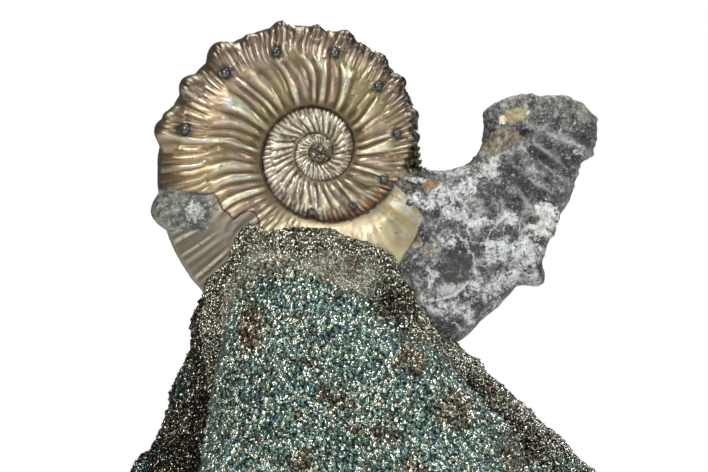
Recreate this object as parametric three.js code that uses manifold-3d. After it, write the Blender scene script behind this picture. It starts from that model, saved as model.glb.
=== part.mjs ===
// A pyritized spiny ammonite standing upright in the lump of rock it was found in. The coil still has its nacre, the last
// part of the living chamber is bare grey stone that has broken away from the coil, and pyrite crystals crust the rock.
// Millimetres, +Z up, the coil's flat side facing -Y. The origin is the middle of the rock's flat underside.
import * as THREE from "three";
import { mergeVertices } from "three/addons/utils/BufferGeometryUtils.js";
import Module from "manifold-3d";

const wasm = await Module();
wasm.setup();

// Driving dimensions. A turn is one whorl: 0 is the +X side of the last whorl, and the shell grows from +X over the top.
const COIL_CENTRE = new THREE.Vector3(-6.8, 4.5, 49.5);
const SEAM_RADIUS = 3.93; // from the centre to the seam where a whorl meets the one before it, at turn 0
const VENTER_RADIUS = 10.9; // from the centre to the outer edge of the whorl, at turn 0
const INNER_GROWTH = 2.4; // how many times wider the coil is one turn later
const OUTER_GROWTH = 2.6; // the same for the outer edge of the last whorl
const FIRST_TURN = -2.6;
const LAST_TURN = 1.04; // the broken end of the living chamber
const THICKNESS_SHARE = 0.31; // half the whorl's thickness as a share of its height
const CHAMBER_HALF_THICKNESS = 3.0; // the living chamber is pressed flatter than the coil
const END_FLARE = 1.6; // the shell widens outwards at its broken end
const RIB_HEIGHT = 0.035; // as a share of the whorl's height
const LATERAL_ROW = 0.7; // where on the flank the side tubercles stand, from the seam at 0 to the venter at 1
const SHOULDER_ROW = 0.93;
const SHELL_CLEARANCE = 0.8; // from the shell without its ribs to the rock, so that the ribs keep about 0.3
const CHAMBER_CLEARANCE = 1.2; // the crust stands back further from the living chamber

// Growth angles of the tubercles in degrees, and how large each one is beside the usual.
const SIDE_TUBERCLES = [
  [-96, 0.8], [-58, 0.8], [-23, 1], [12, 1], [47, 1], [80, 1.1],
  [112, 1.2], [140, 1.2], [171, 1.3], [206, 2], [318, 1.4],
];
const SHOULDER_TUBERCLES = [
  [8, 0.9], [21, 0.9], [41, 1], [56, 1], [76, 1.1], [90, 0.8], [107, 1.2], [122, 0.7],
  [135, 1.3], [152, 1.2], [164, 0.6], [172, 1.3], [201, 1.8], [329, 1.7], [361, 1.2],
];
const SIDE_TUBERCLE_RADIUS = 0.5;
const SHOULDER_TUBERCLE_RADIUS = 0.72;

// Half of the whorl's section: height from seam to venter, thickness, and how strongly the ribs show there.
const HALF_SECTION = [
  [0, 0.5, 0],
  [0.12, 0.9, 0.7],
  [0.42, 1, 1],
  [0.82, 0.74, 0.9],
  [0.985, 0.3, 0.7],
];

// How far the ribs lean towards the opening, in degrees from seam to venter, by turn.
const RIB_LEAN = [[-1, 10], [0, 11], [0.28, 6], [0.42, -4], [0.6, -3], [0.9, -8], [LAST_TURN, -9]];

// The living chamber has lost its inner half: turn, and the radius of the edge that is left.
const BROKEN_EDGE = [[0.955, 8.9], [0.97, 10.5], [0.975, 13], [0.983, 16], [0.995, 17.4], [1.02, 18.4], [LAST_TURN, 19.2]];

// Levels of the rock: height, left, right, front and back. The first is below the underside, which is cut flat.
const BACK_ROCK = [
  [-2, -25.0, 25.5, -7, 14.5],
  [3, -27.2, 27.6, -8, 16.2],
  [9, -28.2, 27.6, -8, 16.8],
  [14.5, -26.4, 23.6, -7, 16.2],
  [18, -24.6, 19.6, -6.5, 15.6],
  [22, -23.4, 15.4, -6, 14.8],
  [25.5, -22, 12, -5.2, 14],
  [28.5, -20.7, 8.8, -4.6, 13.2],
  [31.5, -20.6, 6.4, -4, 12.6],
  [34.5, -18.8, 4.6, -3.2, 12],
  [37.5, -16.6, 2.6, -2.2, 11.2],
  [39.8, -15.2, -0.6, -1.4, 10.6],
  [41, -14.6, -3.2, -0.9, 10.2],
];
const FRONT_ROCK = [
  [-2, -20.5, 20, -15, 6],
  [3, -20.6, 20.6, -16.3, 6],
  [9, -20, 18.4, -16.4, 6],
  [14.5, -19.4, 15.4, -15.6, 6],
  [21, -18.9, 11.4, -13.4, 5],
  [28, -17.8, 5.8, -9.8, 4],
  [33, -16.8, -0.6, -6.6, 3],
  [36, -16.1, -5.6, -4.6, 2],
  [38.4, -14.8, -9.4, -2.6, 1],
];
const SIDE_LUMP = { centre: [-23.8, 1, 12], radii: [4.3, 4.6, 4.8] };
const ROCK_SIDES = 22; // facets around each level
const ROCK_ROUNDNESS = 0.72; // 1 is an oval level, 0 a rectangle
const LUMP_HEIGHT = 0.75;
const CRYSTAL_COUNT = 56;
const CRYSTAL_SIDES = [0.9, 1.7]; // smallest and largest

function solidOf(points, triangles) {
  const vertProperties = new Float32Array(points.flatMap((p) => p.toArray()));
  return new wasm.Manifold(new wasm.Mesh({ numProp: 3, vertProperties, triVerts: new Uint32Array(triangles) }));
}

function solidOfGeometry(geometry) {
  const bare = geometry.clone().deleteAttribute("normal").deleteAttribute("uv");
  const merged = mergeVertices(bare, 1e-4);
  return new wasm.Manifold(
    new wasm.Mesh({
      numProp: 3,
      vertProperties: merged.attributes.position.array,
      triVerts: new Uint32Array(merged.index.array),
    }),
  );
}

// Closes a stack of equal rings into a solid, with a point at each end. Seen from beyond the last ring, they run
// counter-clockwise.
function stackedRings(rings, startPoint, endPoint) {
  const around = rings[0].length;
  const points = [...rings.flat(), startPoint, endPoint];
  const triangles = [];
  for (let ring = 0; ring + 1 < rings.length; ring++) {
    for (let i = 0; i < around; i++) {
      const a = ring * around + i;
      const b = ring * around + ((i + 1) % around);
      triangles.push(a, b, a + around, b, b + around, a + around);
    }
  }
  const lastRing = (rings.length - 1) * around;
  const start = points.length - 2;
  const end = points.length - 1;
  for (let i = 0; i < around; i++) {
    const next = (i + 1) % around;
    triangles.push(start, next, i);
    triangles.push(end, lastRing + i, lastRing + next);
  }
  return solidOf(points, triangles);
}

const smoothstep = (from, to, x) => THREE.MathUtils.smoothstep(x, from, to);

function interpolate(table, x) {
  const next = table.findIndex(([at]) => at > x);
  if (next <= 0) return next === 0 ? table[0][1] : table.at(-1)[1];
  const [[x0, y0], [x1, y1]] = table.slice(next - 1, next + 1);
  return y0 + ((y1 - y0) * (x - x0)) / (x1 - x0);
}

// The shell

const seamRadius = (turn) => SEAM_RADIUS * INNER_GROWTH ** turn;
const innerRadius = (turn) => (turn < BROKEN_EDGE[0][0] ? seamRadius(turn) : interpolate(BROKEN_EDGE, turn));

function venterRadius(turn) {
  const growth = turn < 0 ? INNER_GROWTH : OUTER_GROWTH;
  return VENTER_RADIUS * growth ** turn + END_FLARE * smoothstep(0.99, 1.015, turn);
}

function halfThickness(turn) {
  const full = THICKNESS_SHARE * (venterRadius(turn) - seamRadius(turn));
  return THREE.MathUtils.lerp(full, CHAMBER_HALF_THICKNESS, smoothstep(0.68, 0.95, turn));
}

function ribLean(turn, height) {
  const bend = -2.5 * Math.sin(Math.PI * height);
  return (interpolate(RIB_LEAN, turn) * height + bend) / 360;
}

// A point of the shell. side is -1 for the front, 1 for the back and 0 on the middle plane.
function shellPoint(turn, height, thickness, side, relief = 0) {
  const leaned = turn + ribLean(turn, height);
  const outwards = smoothstep(0.6, 1, height);
  const radius = THREE.MathUtils.lerp(innerRadius(leaned), venterRadius(leaned), height) + relief * outwards;
  const y = side * (halfThickness(leaned) * thickness + relief * (1 - outwards * 0.5));
  const angle = leaned * 2 * Math.PI;
  return new THREE.Vector3(radius * Math.cos(angle), y, radius * Math.sin(angle)).add(COIL_CENTRE);
}

function shellRing(turn, ridge, grow) {
  const whorlHeight = venterRadius(turn) - seamRadius(turn);
  const relief = (share) => ridge * share * RIB_HEIGHT * whorlHeight + grow;
  const side = (sign) =>
    HALF_SECTION.map(([height, thickness, rib]) => shellPoint(turn, height, thickness, sign, relief(rib)));
  return [shellPoint(turn, 0, 0, 0), ...side(-1), ...side(1).reverse()];
}

const middleOf = (ring) => ring.reduce((sum, p) => sum.add(p), new THREE.Vector3()).divideScalar(ring.length);

// A stretch of the coiled tube. With ribs, every other ring is a crest and the rest are furrows. The last rings can
// draw in towards their middle, each by its share, for a rounded end or to end inside the next whorl.
function whorl(fromTurn, toTurn, ringsPerTurn, { ribs = true, grow = 0, endShares = [] } = {}) {
  const count = Math.ceil((toTurn - fromTurn) * ringsPerTurn);
  const rings = Array.from({ length: count + 1 }, (_, i) => {
    const turn = fromTurn + ((toTurn - fromTurn) * i) / count;
    return shellRing(turn, ribs ? (i % 2 ? 1 : -0.4) : 0, grow);
  });
  endShares.forEach((share, i) => {
    const ring = rings.at(i - endShares.length);
    const middle = middleOf(ring);
    ring.forEach((p) => p.lerp(middle, 1 - share));
  });
  return stackedRings(rings, middleOf(rings[0]), middleOf(rings.at(-1)));
}

// A blunt spine standing out of the shell, a low eight-sided cone with a rounded tip.
function tubercle(at, direction, radius, height) {
  const profile = [
    new THREE.Vector2(0, -radius),
    new THREE.Vector2(radius, -radius * 0.3),
    new THREE.Vector2(radius * 0.66, height * 0.62),
    new THREE.Vector2(0, height),
  ];
  const geometry = new THREE.LatheGeometry(profile, 6);
  geometry.applyQuaternion(new THREE.Quaternion().setFromUnitVectors(new THREE.Vector3(0, 1, 0), direction));
  geometry.translate(...at.toArray());
  return solidOfGeometry(geometry);
}

function sizeAt(turn) {
  return Math.sqrt((venterRadius(turn) - seamRadius(turn)) / 10);
}

function sideTubercle([degrees, size], side) {
  const turn = degrees / 360 - ribLean(degrees / 360, LATERAL_ROW);
  const radius = SIDE_TUBERCLE_RADIUS * size * sizeAt(turn);
  return tubercle(shellPoint(turn, LATERAL_ROW, 0.86, side), new THREE.Vector3(0, side, 0), radius, radius * 1.1);
}

function shoulderTubercle([degrees, size], side) {
  const angle = (degrees / 360) * 2 * Math.PI;
  const turn = degrees / 360 - ribLean(degrees / 360, SHOULDER_ROW);
  const radius = SHOULDER_TUBERCLE_RADIUS * size * sizeAt(turn);
  const outwards = new THREE.Vector3(Math.cos(angle), side * 0.55, Math.sin(angle)).normalize();
  return tubercle(shellPoint(turn, SHOULDER_ROW, 0.5, side), outwards, radius, radius * 1.25);
}

function ammonite() {
  const ringsPerTurn = 96;
  const overlap = 1 / ringsPerTurn;
  const pieces = [
    solidOfGeometry(new THREE.SphereGeometry(0.62, 8, 6).scale(1, 0.6, 1).translate(...COIL_CENTRE.toArray())),
    whorl(FIRST_TURN, -2 + overlap, 14, { ribs: false, endShares: [0.9] }),
    whorl(-2, -1 + overlap, 20, { ribs: false, endShares: [0.9] }),
    whorl(-1, overlap, 50, { endShares: [0.9] }),
    whorl(0, LAST_TURN, ringsPerTurn, { endShares: [0.94, 0.72] }),
  ];
  for (const side of [-1, 1]) {
    SIDE_TUBERCLES.forEach((each) => pieces.push(sideTubercle(each, side)));
    SHOULDER_TUBERCLES.forEach((each) => pieces.push(shoulderTubercle(each, side)));
  }
  return wasm.Manifold.union(pieces);
}

// The rock

function lumpiness(x, y, z) {
  const broad = Math.sin(0.42 * x + 1.1) * Math.cos(0.5 * z - 0.35 * y);
  const small = 0.6 * Math.sin(1.05 * x + 0.8 * z) * Math.cos(0.9 * y + 0.3 * z + 0.7);
  return LUMP_HEIGHT * (broad + small);
}

function rock(levels) {
  const rings = levels.map(([z, left, right, front, back]) =>
    Array.from({ length: ROCK_SIDES }, (_, i) => {
      const angle = (2 * Math.PI * i) / ROCK_SIDES;
      const [c, s] = [Math.cos(angle), Math.sin(angle)].map((v) => Math.sign(v) * Math.abs(v) ** ROCK_ROUNDNESS);
      const x = (left + right) / 2 + ((right - left) / 2) * c;
      const y = (front + back) / 2 + ((back - front) / 2) * s;
      const lump = lumpiness(x, y, z);
      return new THREE.Vector3(x + lump * c * 0.6, y + lump * s, z + 0.5 * Math.sin(x * 0.7 + y));
    }),
  );
  const middle = ([z, left, right, front, back], rise) =>
    new THREE.Vector3((left + right) / 2, (front + back) / 2, z + rise);
  return stackedRings(rings, middle(levels[0], 0), middle(levels.at(-1), 0.8));
}

// A repeatable stream of numbers from 0 to 1.
function stream(seed) {
  let state = seed;
  return () => {
    state = (state * 16807) % 2147483647;
    return state / 2147483647;
  };
}

// Cubes of pyrite, sunk to about half their depth in the surface of a solid.
function crystals(surface, count, seed) {
  const mesh = surface.getMesh();
  const corner = (i) => new THREE.Vector3().fromArray(mesh.vertProperties, mesh.triVerts[i] * mesh.numProp);
  const triangles = Array.from({ length: mesh.numTri }, (_, t) => [0, 1, 2].map((k) => corner(3 * t + k)));
  const areas = triangles.map(([a, b, c]) => new THREE.Triangle(a, b, c).getArea());
  const whole = areas.reduce((sum, area) => sum + area, 0);
  const random = stream(seed);
  const [smallest, largest] = CRYSTAL_SIDES;
  return Array.from({ length: count }, (_, n) => {
    let left = ((n + random()) / count) * whole;
    const t = areas.findIndex((area) => (left -= area) <= 0);
    const [a, b, c] = triangles[Math.max(t, 0)];
    const [u, v] = [random(), random()].sort();
    const at = a.clone().multiplyScalar(u).addScaledVector(b, v - u).addScaledVector(c, 1 - v);
    const side = THREE.MathUtils.lerp(smallest, largest, random() ** 2);
    const turned = new THREE.Euler(random() * 3, random() * 3, random() * 3);
    const cube = new THREE.BoxGeometry(side, side, side);
    cube.applyQuaternion(new THREE.Quaternion().setFromEuler(turned)).translate(...at.toArray());
    return solidOfGeometry(cube);
  });
}

// The room that the shell takes up in the rock.
function shellRoom() {
  const behindCrust = whorl(0.48, 0.96, 72, { ribs: false, grow: SHELL_CLEARANCE });
  const beyondCrust = whorl(0.9, LAST_TURN, 72, { ribs: false, grow: CHAMBER_CLEARANCE });
  return behindCrust.add(beyondCrust);
}

function largestOf(solid) {
  return solid.decompose().sort((a, b) => b.volume() - a.volume())[0];
}

function crustedRock() {
  const lump = new THREE.IcosahedronGeometry(1, 2).scale(...SIDE_LUMP.radii).translate(...SIDE_LUMP.centre);
  const bare = wasm.Manifold.union([rock(BACK_ROCK), rock(FRONT_ROCK), solidOfGeometry(lump)]);
  const crusted = wasm.Manifold.union([bare, ...crystals(bare, CRYSTAL_COUNT, 123)]);
  const room = 200;
  const underside = new THREE.BoxGeometry(room, room, room).translate(0, 0, -room / 2);
  const cut = crusted.subtract(solidOfGeometry(underside)).subtract(shellRoom());
  return largestOf(cut);
}

function meshOf(name, solid, material) {
  const { vertProperties, triVerts } = solid.getMesh();
  const geometry = new THREE.BufferGeometry();
  geometry.setAttribute("position", new THREE.BufferAttribute(vertProperties, 3));
  geometry.setIndex(new THREE.BufferAttribute(triVerts, 1));
  geometry.computeVertexNormals();
  const mesh = new THREE.Mesh(geometry, material);
  mesh.name = name;
  return mesh;
}

const nacre = new THREE.MeshStandardMaterial({ color: 0x9c8a6c, roughness: 0.35, metalness: 0.6 });
const pyrite = new THREE.MeshStandardMaterial({ color: 0x5c6058, roughness: 0.3, metalness: 0.8, flatShading: true });

const specimen = new THREE.Group();
specimen.add(meshOf("ammonite", ammonite(), nacre));
specimen.add(meshOf("pyrite_matrix", crustedRock(), pyrite));
export default specimen;
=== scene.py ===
"""A pyritized spiny ammonite standing upright in its lump of pyrite-crusted rock, dressed for the camera."""
import math
from functools import partial

import bmesh
import bpy
import numpy as np
from bpy.props import FloatProperty, FloatVectorProperty, IntProperty, PointerProperty
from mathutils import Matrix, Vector


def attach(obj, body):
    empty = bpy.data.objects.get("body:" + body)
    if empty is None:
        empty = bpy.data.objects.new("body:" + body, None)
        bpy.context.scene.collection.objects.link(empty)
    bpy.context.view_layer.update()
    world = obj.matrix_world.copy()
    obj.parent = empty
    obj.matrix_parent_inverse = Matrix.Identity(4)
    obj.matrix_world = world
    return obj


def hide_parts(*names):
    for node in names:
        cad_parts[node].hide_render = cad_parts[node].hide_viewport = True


bl_info = {
    "name": "Pyritized ammonite",
    "version": (1, 0, 0),
    "blender": (4, 5, 0),
    "location": "3D View > Sidebar > Ammonite",
    "description": "Builds a nacreous ammonite in a rock crusted with pyrite crystals",
    "category": "Add Mesh",
}

MM = 0.001

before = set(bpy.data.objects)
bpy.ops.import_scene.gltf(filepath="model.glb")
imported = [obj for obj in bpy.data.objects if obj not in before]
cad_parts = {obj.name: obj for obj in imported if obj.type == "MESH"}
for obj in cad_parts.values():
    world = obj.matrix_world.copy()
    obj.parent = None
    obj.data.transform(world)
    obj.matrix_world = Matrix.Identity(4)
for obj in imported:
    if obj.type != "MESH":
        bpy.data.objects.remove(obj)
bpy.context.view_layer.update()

# The shell's formula, in millimetres. A turn is one whorl: 0 is the +X side of the last whorl, and the shell grows
# from +X over the top. A height is 0 at the seam with the whorl before and 1 at the outer edge.
FIRST_TURN = -2.1
FOLLOWS_NACRE = 0.76  # the turn from which the coil's rows turn to lie along the nacre's broken edge
CHAMBER_START = 0.765  # under the nacre
CHAMBER_END = 1.036
CHAMBER_HALF_THICKNESS = 3.0
CHAMBER_SWELL = 0.45
END_FLARE = 1.6
SHOULDER_ROW = 0.93  # height of the shoulder tubercles
# A rib's forward bend at its foot, in degrees, and the height over which it fades.
FOOT_BEND = 3.2
FOOT_HEIGHT = 0.11
# Where its two bows lie: height and width.
MIDDLE_BOW_AT = (0.32, 0.19)
ROW_BOW_AT = (0.66, 0.2)
# How much narrower the rock is than its levels, so that the crystals have room, in millimetres.
CRYSTAL_DEPTH = 0.4
SENSOR_WIDTH = 36
SECTION_SHAPE = 0.31  # half thickness beside height, which spaces the points on the section
# Half of the whorl's section from the inner middle to the outer middle: height, and share of the half thickness.
HALF_SECTION = [
    (0.015, 0), (0.0, 0.2), (0.0, 0.4), (0.025, 0.58), (0.07, 0.74), (0.13, 0.87), (0.22, 0.96), (0.36, 1.0),
    (0.55, 0.985), (0.7, 0.9), (0.82, 0.76), (0.91, 0.58), (0.965, 0.4), (0.99, 0.2), (0.992, 0),
]
# How far a rib leans towards the opening over the inner and the outer half, in degrees, by turn.
INNER_LEAN = [
    (-3, 8), (-1, 11), (-0.5, 12), (0, 7), (0.17, 5), (0.28, 0), (0.42, -1.5), (0.5, -0.3), (0.57, -0.5),
    (0.85, -5), (1.1, -7),
]
OUTER_LEAN = [(-3, 2), (-0.5, 1), (0, 3), (0.28, 1), (0.42, -3), (0.5, -0.8), (0.57, -1), (0.85, -7), (1.1, -9)]
# How far it bows forward at the middle of the inner half, and near the row of side tubercles, in degrees, by turn.
MIDDLE_BOW = [(-3, 0), (0.36, 0), (0.44, -2.2), (0.5, -3.6), (0.58, -3.3), (0.66, 0), (1.1, 0)]
ROW_BOW = [(-3, 0), (0.15, 0), (0.22, 4), (0.3, 4.5), (0.36, 1.5), (0.42, 0), (1.1, 0)]
# The space between ribs in degrees, by turn: main ribs cross the inner half, and finer ones the outer half.
MAIN_SPACING = [
    (-3, 15), (-1, 14.5), (-0.8, 13), (-0.5, 10.5), (0, 11.3), (0.17, 11), (0.25, 9.2), (0.4, 8.4),
    (0.5, 7.8), (0.57, 6.8), (0.63, 4.8), (1.1, 4.8),
]
FINE_SPACING = [
    (-3, 8), (-1, 7), (-0.4, 4.9), (0, 3.9), (0.28, 3.6), (0.33, 3.0), (0.44, 3.0), (0.48, 3.8), (0.55, 3.5),
    (0.6, 3.0), (1.1, 2.9),
]
# The height of the row of side tubercles, by turn.
BEAD_ROW = [(-1, 0.6), (-0.3, 0.62), (0.13, 0.66), (0.31, 0.69), (0.39, 0.75), (0.47, 0.77), (0.57, 0.68), (1, 0.66)]
# Where the nacre ends at the living chamber: height, and turn.
NACRE_END = [(0, 0.9375), (0.28, 0.911), (0.387, 0.857), (0.56, 0.812), (1, 0.8)]
# The inner edge of what is left of the living chamber: turn, and radius.
BROKEN_EDGE = [
    (0.95, 8.8), (0.965, 9.3), (0.972, 10.4), (0.9745, 12), (0.977, 14.2), (0.982, 15.6), (0.9885, 16.8),
    (0.9945, 17.4), (1.0085, 18.1), (1.02, 18.5), (1.034, 18.6), (1.05, 19.2),
]
# The broken end's lean against the inner edge, in degrees, by height.
END_LEAN = [
    (0, 0), (0.15, 1.4), (0.3, 1.5), (0.42, 0.3), (0.52, -0.7), (0.6, -1.4), (0.7, -1.8), (0.8, -2.2),
    (0.93, -4.6), (1, -6.6),
]

# Tubercles: growth angle in degrees, and radius from the coil's centre or size beside the usual.
SIDE_BEADS = [
    (-96, 6.78), (-58, 7.13), (-23.4, 7.83), (12.3, 8.81), (47, 9.65), (80.5, 10.87), (112.2, 11.68),
    (140, 13.2), (170.6, 14.58),
]
SHOULDER_BUMPS = [
    (8, 0.8), (21, 0.9), (40.9, 1), (55.5, 1), (75.8, 1.1), (90, 0.8), (106.7, 1.15), (121.7, 0.7),
    (135.5, 1.5), (152.6, 1.25), (165, 0.85), (172, 1.5), (201.3, 1.65),
]
# Where the nacre has flaked off the lower left of the front: x and z, in millimetres.
FLAKED = [
    (-27, 45.2), (-20.5, 44.9), (-19.0, 44.8), (-18.2, 44.95), (-17.7, 44.4), (-17.2, 43.2), (-16.6, 42.8),
    (-16.0, 42.1), (-15.3, 42.6), (-14.3, 43.1), (-13.6, 42.8), (-13.2, 41.9), (-12.0, 25), (-30, 25),
]


def table_value(table, x):
    """Linear interpolation in a list of pairs."""
    xs, ys = zip(*table)
    return np.interp(x, xs, ys)


def smoothstep(low, high, x):
    t = np.clip((x - low) / (high - low), 0, 1)
    return t * t * (3 - 2 * t)


def plateau(rise, top, fall, foot, x):
    """1 from top to fall, with soft slopes out to rise and foot."""
    return smoothstep(rise, top, x) * smoothstep(foot, fall, x)


def smooth_table(table, steps=400):
    """A rounded curve through the points of a table, as dense columns over 0 to 1."""
    points = np.array(table, float)
    spans = len(points) - 1
    padded = np.vstack([2 * points[0] - points[1], points, 2 * points[-1] - points[-2]])
    u = np.linspace(0, spans - 1e-6, steps)
    i, f = u.astype(int), (u % 1)[:, None]
    p0, p1, p2, p3 = (padded[i + k] for k in range(4))
    curve = 2 * p1 + (p2 - p0) * f + (2 * p0 - 5 * p1 + 4 * p2 - p3) * f**2 + (3 * p1 - p0 - 3 * p2 + p3) * f**3
    curve *= 0.5
    lengths = np.hypot(*np.diff(curve * [1, SECTION_SHAPE], axis=0).T)
    along = np.concatenate([[0], np.cumsum(lengths)])
    return along / along[-1], curve


def rib_count(spacing):
    """How many ribs lie before each of TURNS."""
    return np.cumsum(360 / table_value(spacing, TURNS)) * (TURNS[1] - TURNS[0])


SECTION_PLACE, SECTION_CURVE = smooth_table(HALF_SECTION)
TURNS = np.linspace(-3, 1.2, 4000)
MAIN_COUNT, FINE_COUNT = rib_count(MAIN_SPACING), rib_count(FINE_SPACING)


class ShellSettings(bpy.types.PropertyGroup):
    """Sizes of the shell's spiral and its relief."""

    centre: FloatVectorProperty(
        name="Centre", description="Middle of the coil", subtype="XYZ", unit="LENGTH",
        default=(-0.0068, 0.0045, 0.0495),
    )
    seam_radius: FloatProperty(
        name="Seam radius", description="Centre to seam at turn 0", unit="LENGTH", default=0.00393
    )
    edge_radius: FloatProperty(
        name="Edge radius", description="Centre to outer edge at turn 0", unit="LENGTH", default=0.0109
    )
    inner_growth: FloatProperty(name="Inner growth", description="Growth of the seam in one turn", default=2.4)
    outer_growth: FloatProperty(name="Outer growth", description="Growth of the last whorl's edge", default=2.6)
    half_thickness: FloatProperty(
        name="Half thickness", description="Half the whorl's thickness beside its height", default=0.31
    )
    rib_depth: FloatProperty(
        name="Rib depth", description="Rib relief beside the space between ribs", default=0.125
    )
    bead_radius: FloatProperty(
        name="Bead radius", description="Radius of a side tubercle", unit="LENGTH", default=0.0005
    )
    bump_radius: FloatProperty(
        name="Bump radius", description="Radius of a shoulder tubercle", unit="LENGTH", default=0.0009
    )


class RockSettings(bpy.types.PropertyGroup):
    """Sizes of the rock and its crystals."""

    voxel: FloatProperty(name="Voxel", description="Grid of the rock's surface", unit="LENGTH", default=0.00045)
    lumps: FloatProperty(name="Lumps", description="Height of the broad lumps", unit="LENGTH", default=0.0007)
    knobs: FloatProperty(name="Knobs", description="Height of the small knobs", unit="LENGTH", default=0.0003)
    coarse_size: FloatProperty(
        name="Coarse crystals", description="Side of the crystals on the front lump", unit="LENGTH", default=0.0004
    )
    fine_size: FloatProperty(
        name="Fine crystals", description="Side of the crystals beside the shell", unit="LENGTH", default=0.00025
    )
    coarse_count: IntProperty(name="Coarse count", description="Crystals in each coarse piece", default=14000)
    fine_count: IntProperty(name="Fine count", description="Crystals in each fine piece", default=23000)
    seed: IntProperty(name="Seed", description="Start of the random draws", default=4)


class StageSettings(bpy.types.PropertyGroup):
    """Camera, floor and lights."""

    aim: FloatVectorProperty(
        name="Aim", description="Point at the picture's middle", subtype="XYZ", unit="LENGTH",
        default=(-0.00286, 0.0045, 0.04026),
    )
    frame_width: FloatProperty(
        name="Frame width", description="Width seen at the shell", unit="LENGTH", default=0.07788
    )
    lens: FloatProperty(name="Lens", description="Focal length in millimetres", default=180)
    floor_radius: FloatProperty(
        name="Floor radius", description="Radius of the floor", unit="LENGTH", default=0.17
    )
    ambient: FloatProperty(name="Ambient", description="Strength of the light from all round", default=0.11)


def shell_settings():
    return bpy.context.scene.fossil_shell


def rock_settings():
    return bpy.context.scene.fossil_rock


# The shell's formula


def seam_radius(turn):
    shell = shell_settings()
    return shell.seam_radius / MM * shell.inner_growth**turn


def edge_radius(turn):
    shell = shell_settings()
    growth = np.where(turn < 0, shell.inner_growth, shell.outer_growth)
    return shell.edge_radius / MM * growth**turn + END_FLARE * smoothstep(0.985, 1.013, turn)


def half_thickness(turn):
    full = shell_settings().half_thickness * (edge_radius(turn) - seam_radius(turn))
    return full + (CHAMBER_HALF_THICKNESS - full) * smoothstep(0.68, 0.95, turn)


def hump(x, middle, width):
    return np.exp(-(((x - middle) / width) ** 2))


def rib_lean(turn, height):
    """In turns. A rib bends forward at its foot, leans by its own amount over each half of the height, and
    bows."""
    inner = table_value(INNER_LEAN, turn) * np.sin(np.clip(height / 0.62, 0, 1) * math.pi / 2)
    outer = table_value(OUTER_LEAN, turn) * np.clip(height / 0.5 - 1, 0, 1) ** 1.3
    bow = table_value(MIDDLE_BOW, turn) * hump(height, *MIDDLE_BOW_AT)
    bow = bow + table_value(ROW_BOW, turn) * hump(height, *ROW_BOW_AT)
    return (inner + outer + bow + FOOT_BEND * np.exp(-height / FOOT_HEIGHT)) / 360


def coil_centre():
    return np.array(shell_settings().centre) / MM


def polar_point(turn, radius, y):
    """A point from its turn, its radius from the coil's centre and its distance behind the middle plane."""
    angle = 2 * math.pi * turn
    return coil_centre() + np.stack([radius * np.cos(angle), y, radius * np.sin(angle)], -1)


def section(around):
    """Height, thickness and side on the whorl's section. around runs 0 to 1 from the inner middle over the front to
    the outer middle, and back over the rear."""
    half = 1 - np.abs(1 - 2 * around)
    height, thick = (np.interp(half, SECTION_PLACE, column) for column in SECTION_CURVE.T)
    return height, thick, np.where(around < 0.5, -1, 1)


def coil_surface(turn, around, inner=seam_radius, lean=rib_lean, inset=0.0):
    """The shell without its relief."""
    height, thick, side = section(around)
    real = turn + lean(turn, height)
    radius = inner(real) + (edge_radius(real) - inner(real)) * height
    y = side * (half_thickness(real) * thick - inset)
    return polar_point(real, radius, y), real, height, side


def surface_normals(surface, turn, around):
    """Outward unit normals by small differences."""
    step_turn, step_around = 5e-4, 1e-3  # small beside a rib
    along = surface(turn + step_turn, around)[0] - surface(turn - step_turn, around)[0]
    inside = np.clip(around, step_around, 1 - step_around)
    across = surface(turn, inside + step_around)[0] - surface(turn, inside - step_around)[0]
    normal = np.cross(across, along)
    return normal / np.maximum(np.linalg.norm(normal, axis=1, keepdims=True), 1e-9)


def uneven(count, speed, phase=0.0):
    """A slow, irregular wave for rib heights and places."""
    return (
        np.sin(count * speed * 2.1 + phase)
        + 0.7 * np.sin(count * speed * 3.7 + 1.3 + phase)
        + 0.5 * np.sin(count * speed * 7.9 + 2.1)
    ) / 2.2


def ribs(count):
    """Rounded crests with narrow furrows, 0 to 1. Each rib has a height of its own."""
    own = 0.78 + 0.3 * np.sin(np.floor(count) * 2.39) + 0.14 * np.sin(np.floor(count) * 7.1)
    return np.abs(np.sin(math.pi * count)) ** 0.95 * own


def bundled(turn, real, height):
    """Draws the main ribs together at each side tubercle."""
    pull = plateau(0.12, 0.55, 0.72, 0.9, height)
    shift = np.zeros(len(turn))
    for degrees, _ in SIDE_BEADS:
        away = real * 360 - degrees
        shift += 0.75 * away * np.exp(-((away / 7.5) ** 2))
    return turn + shift * pull / 360


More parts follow.
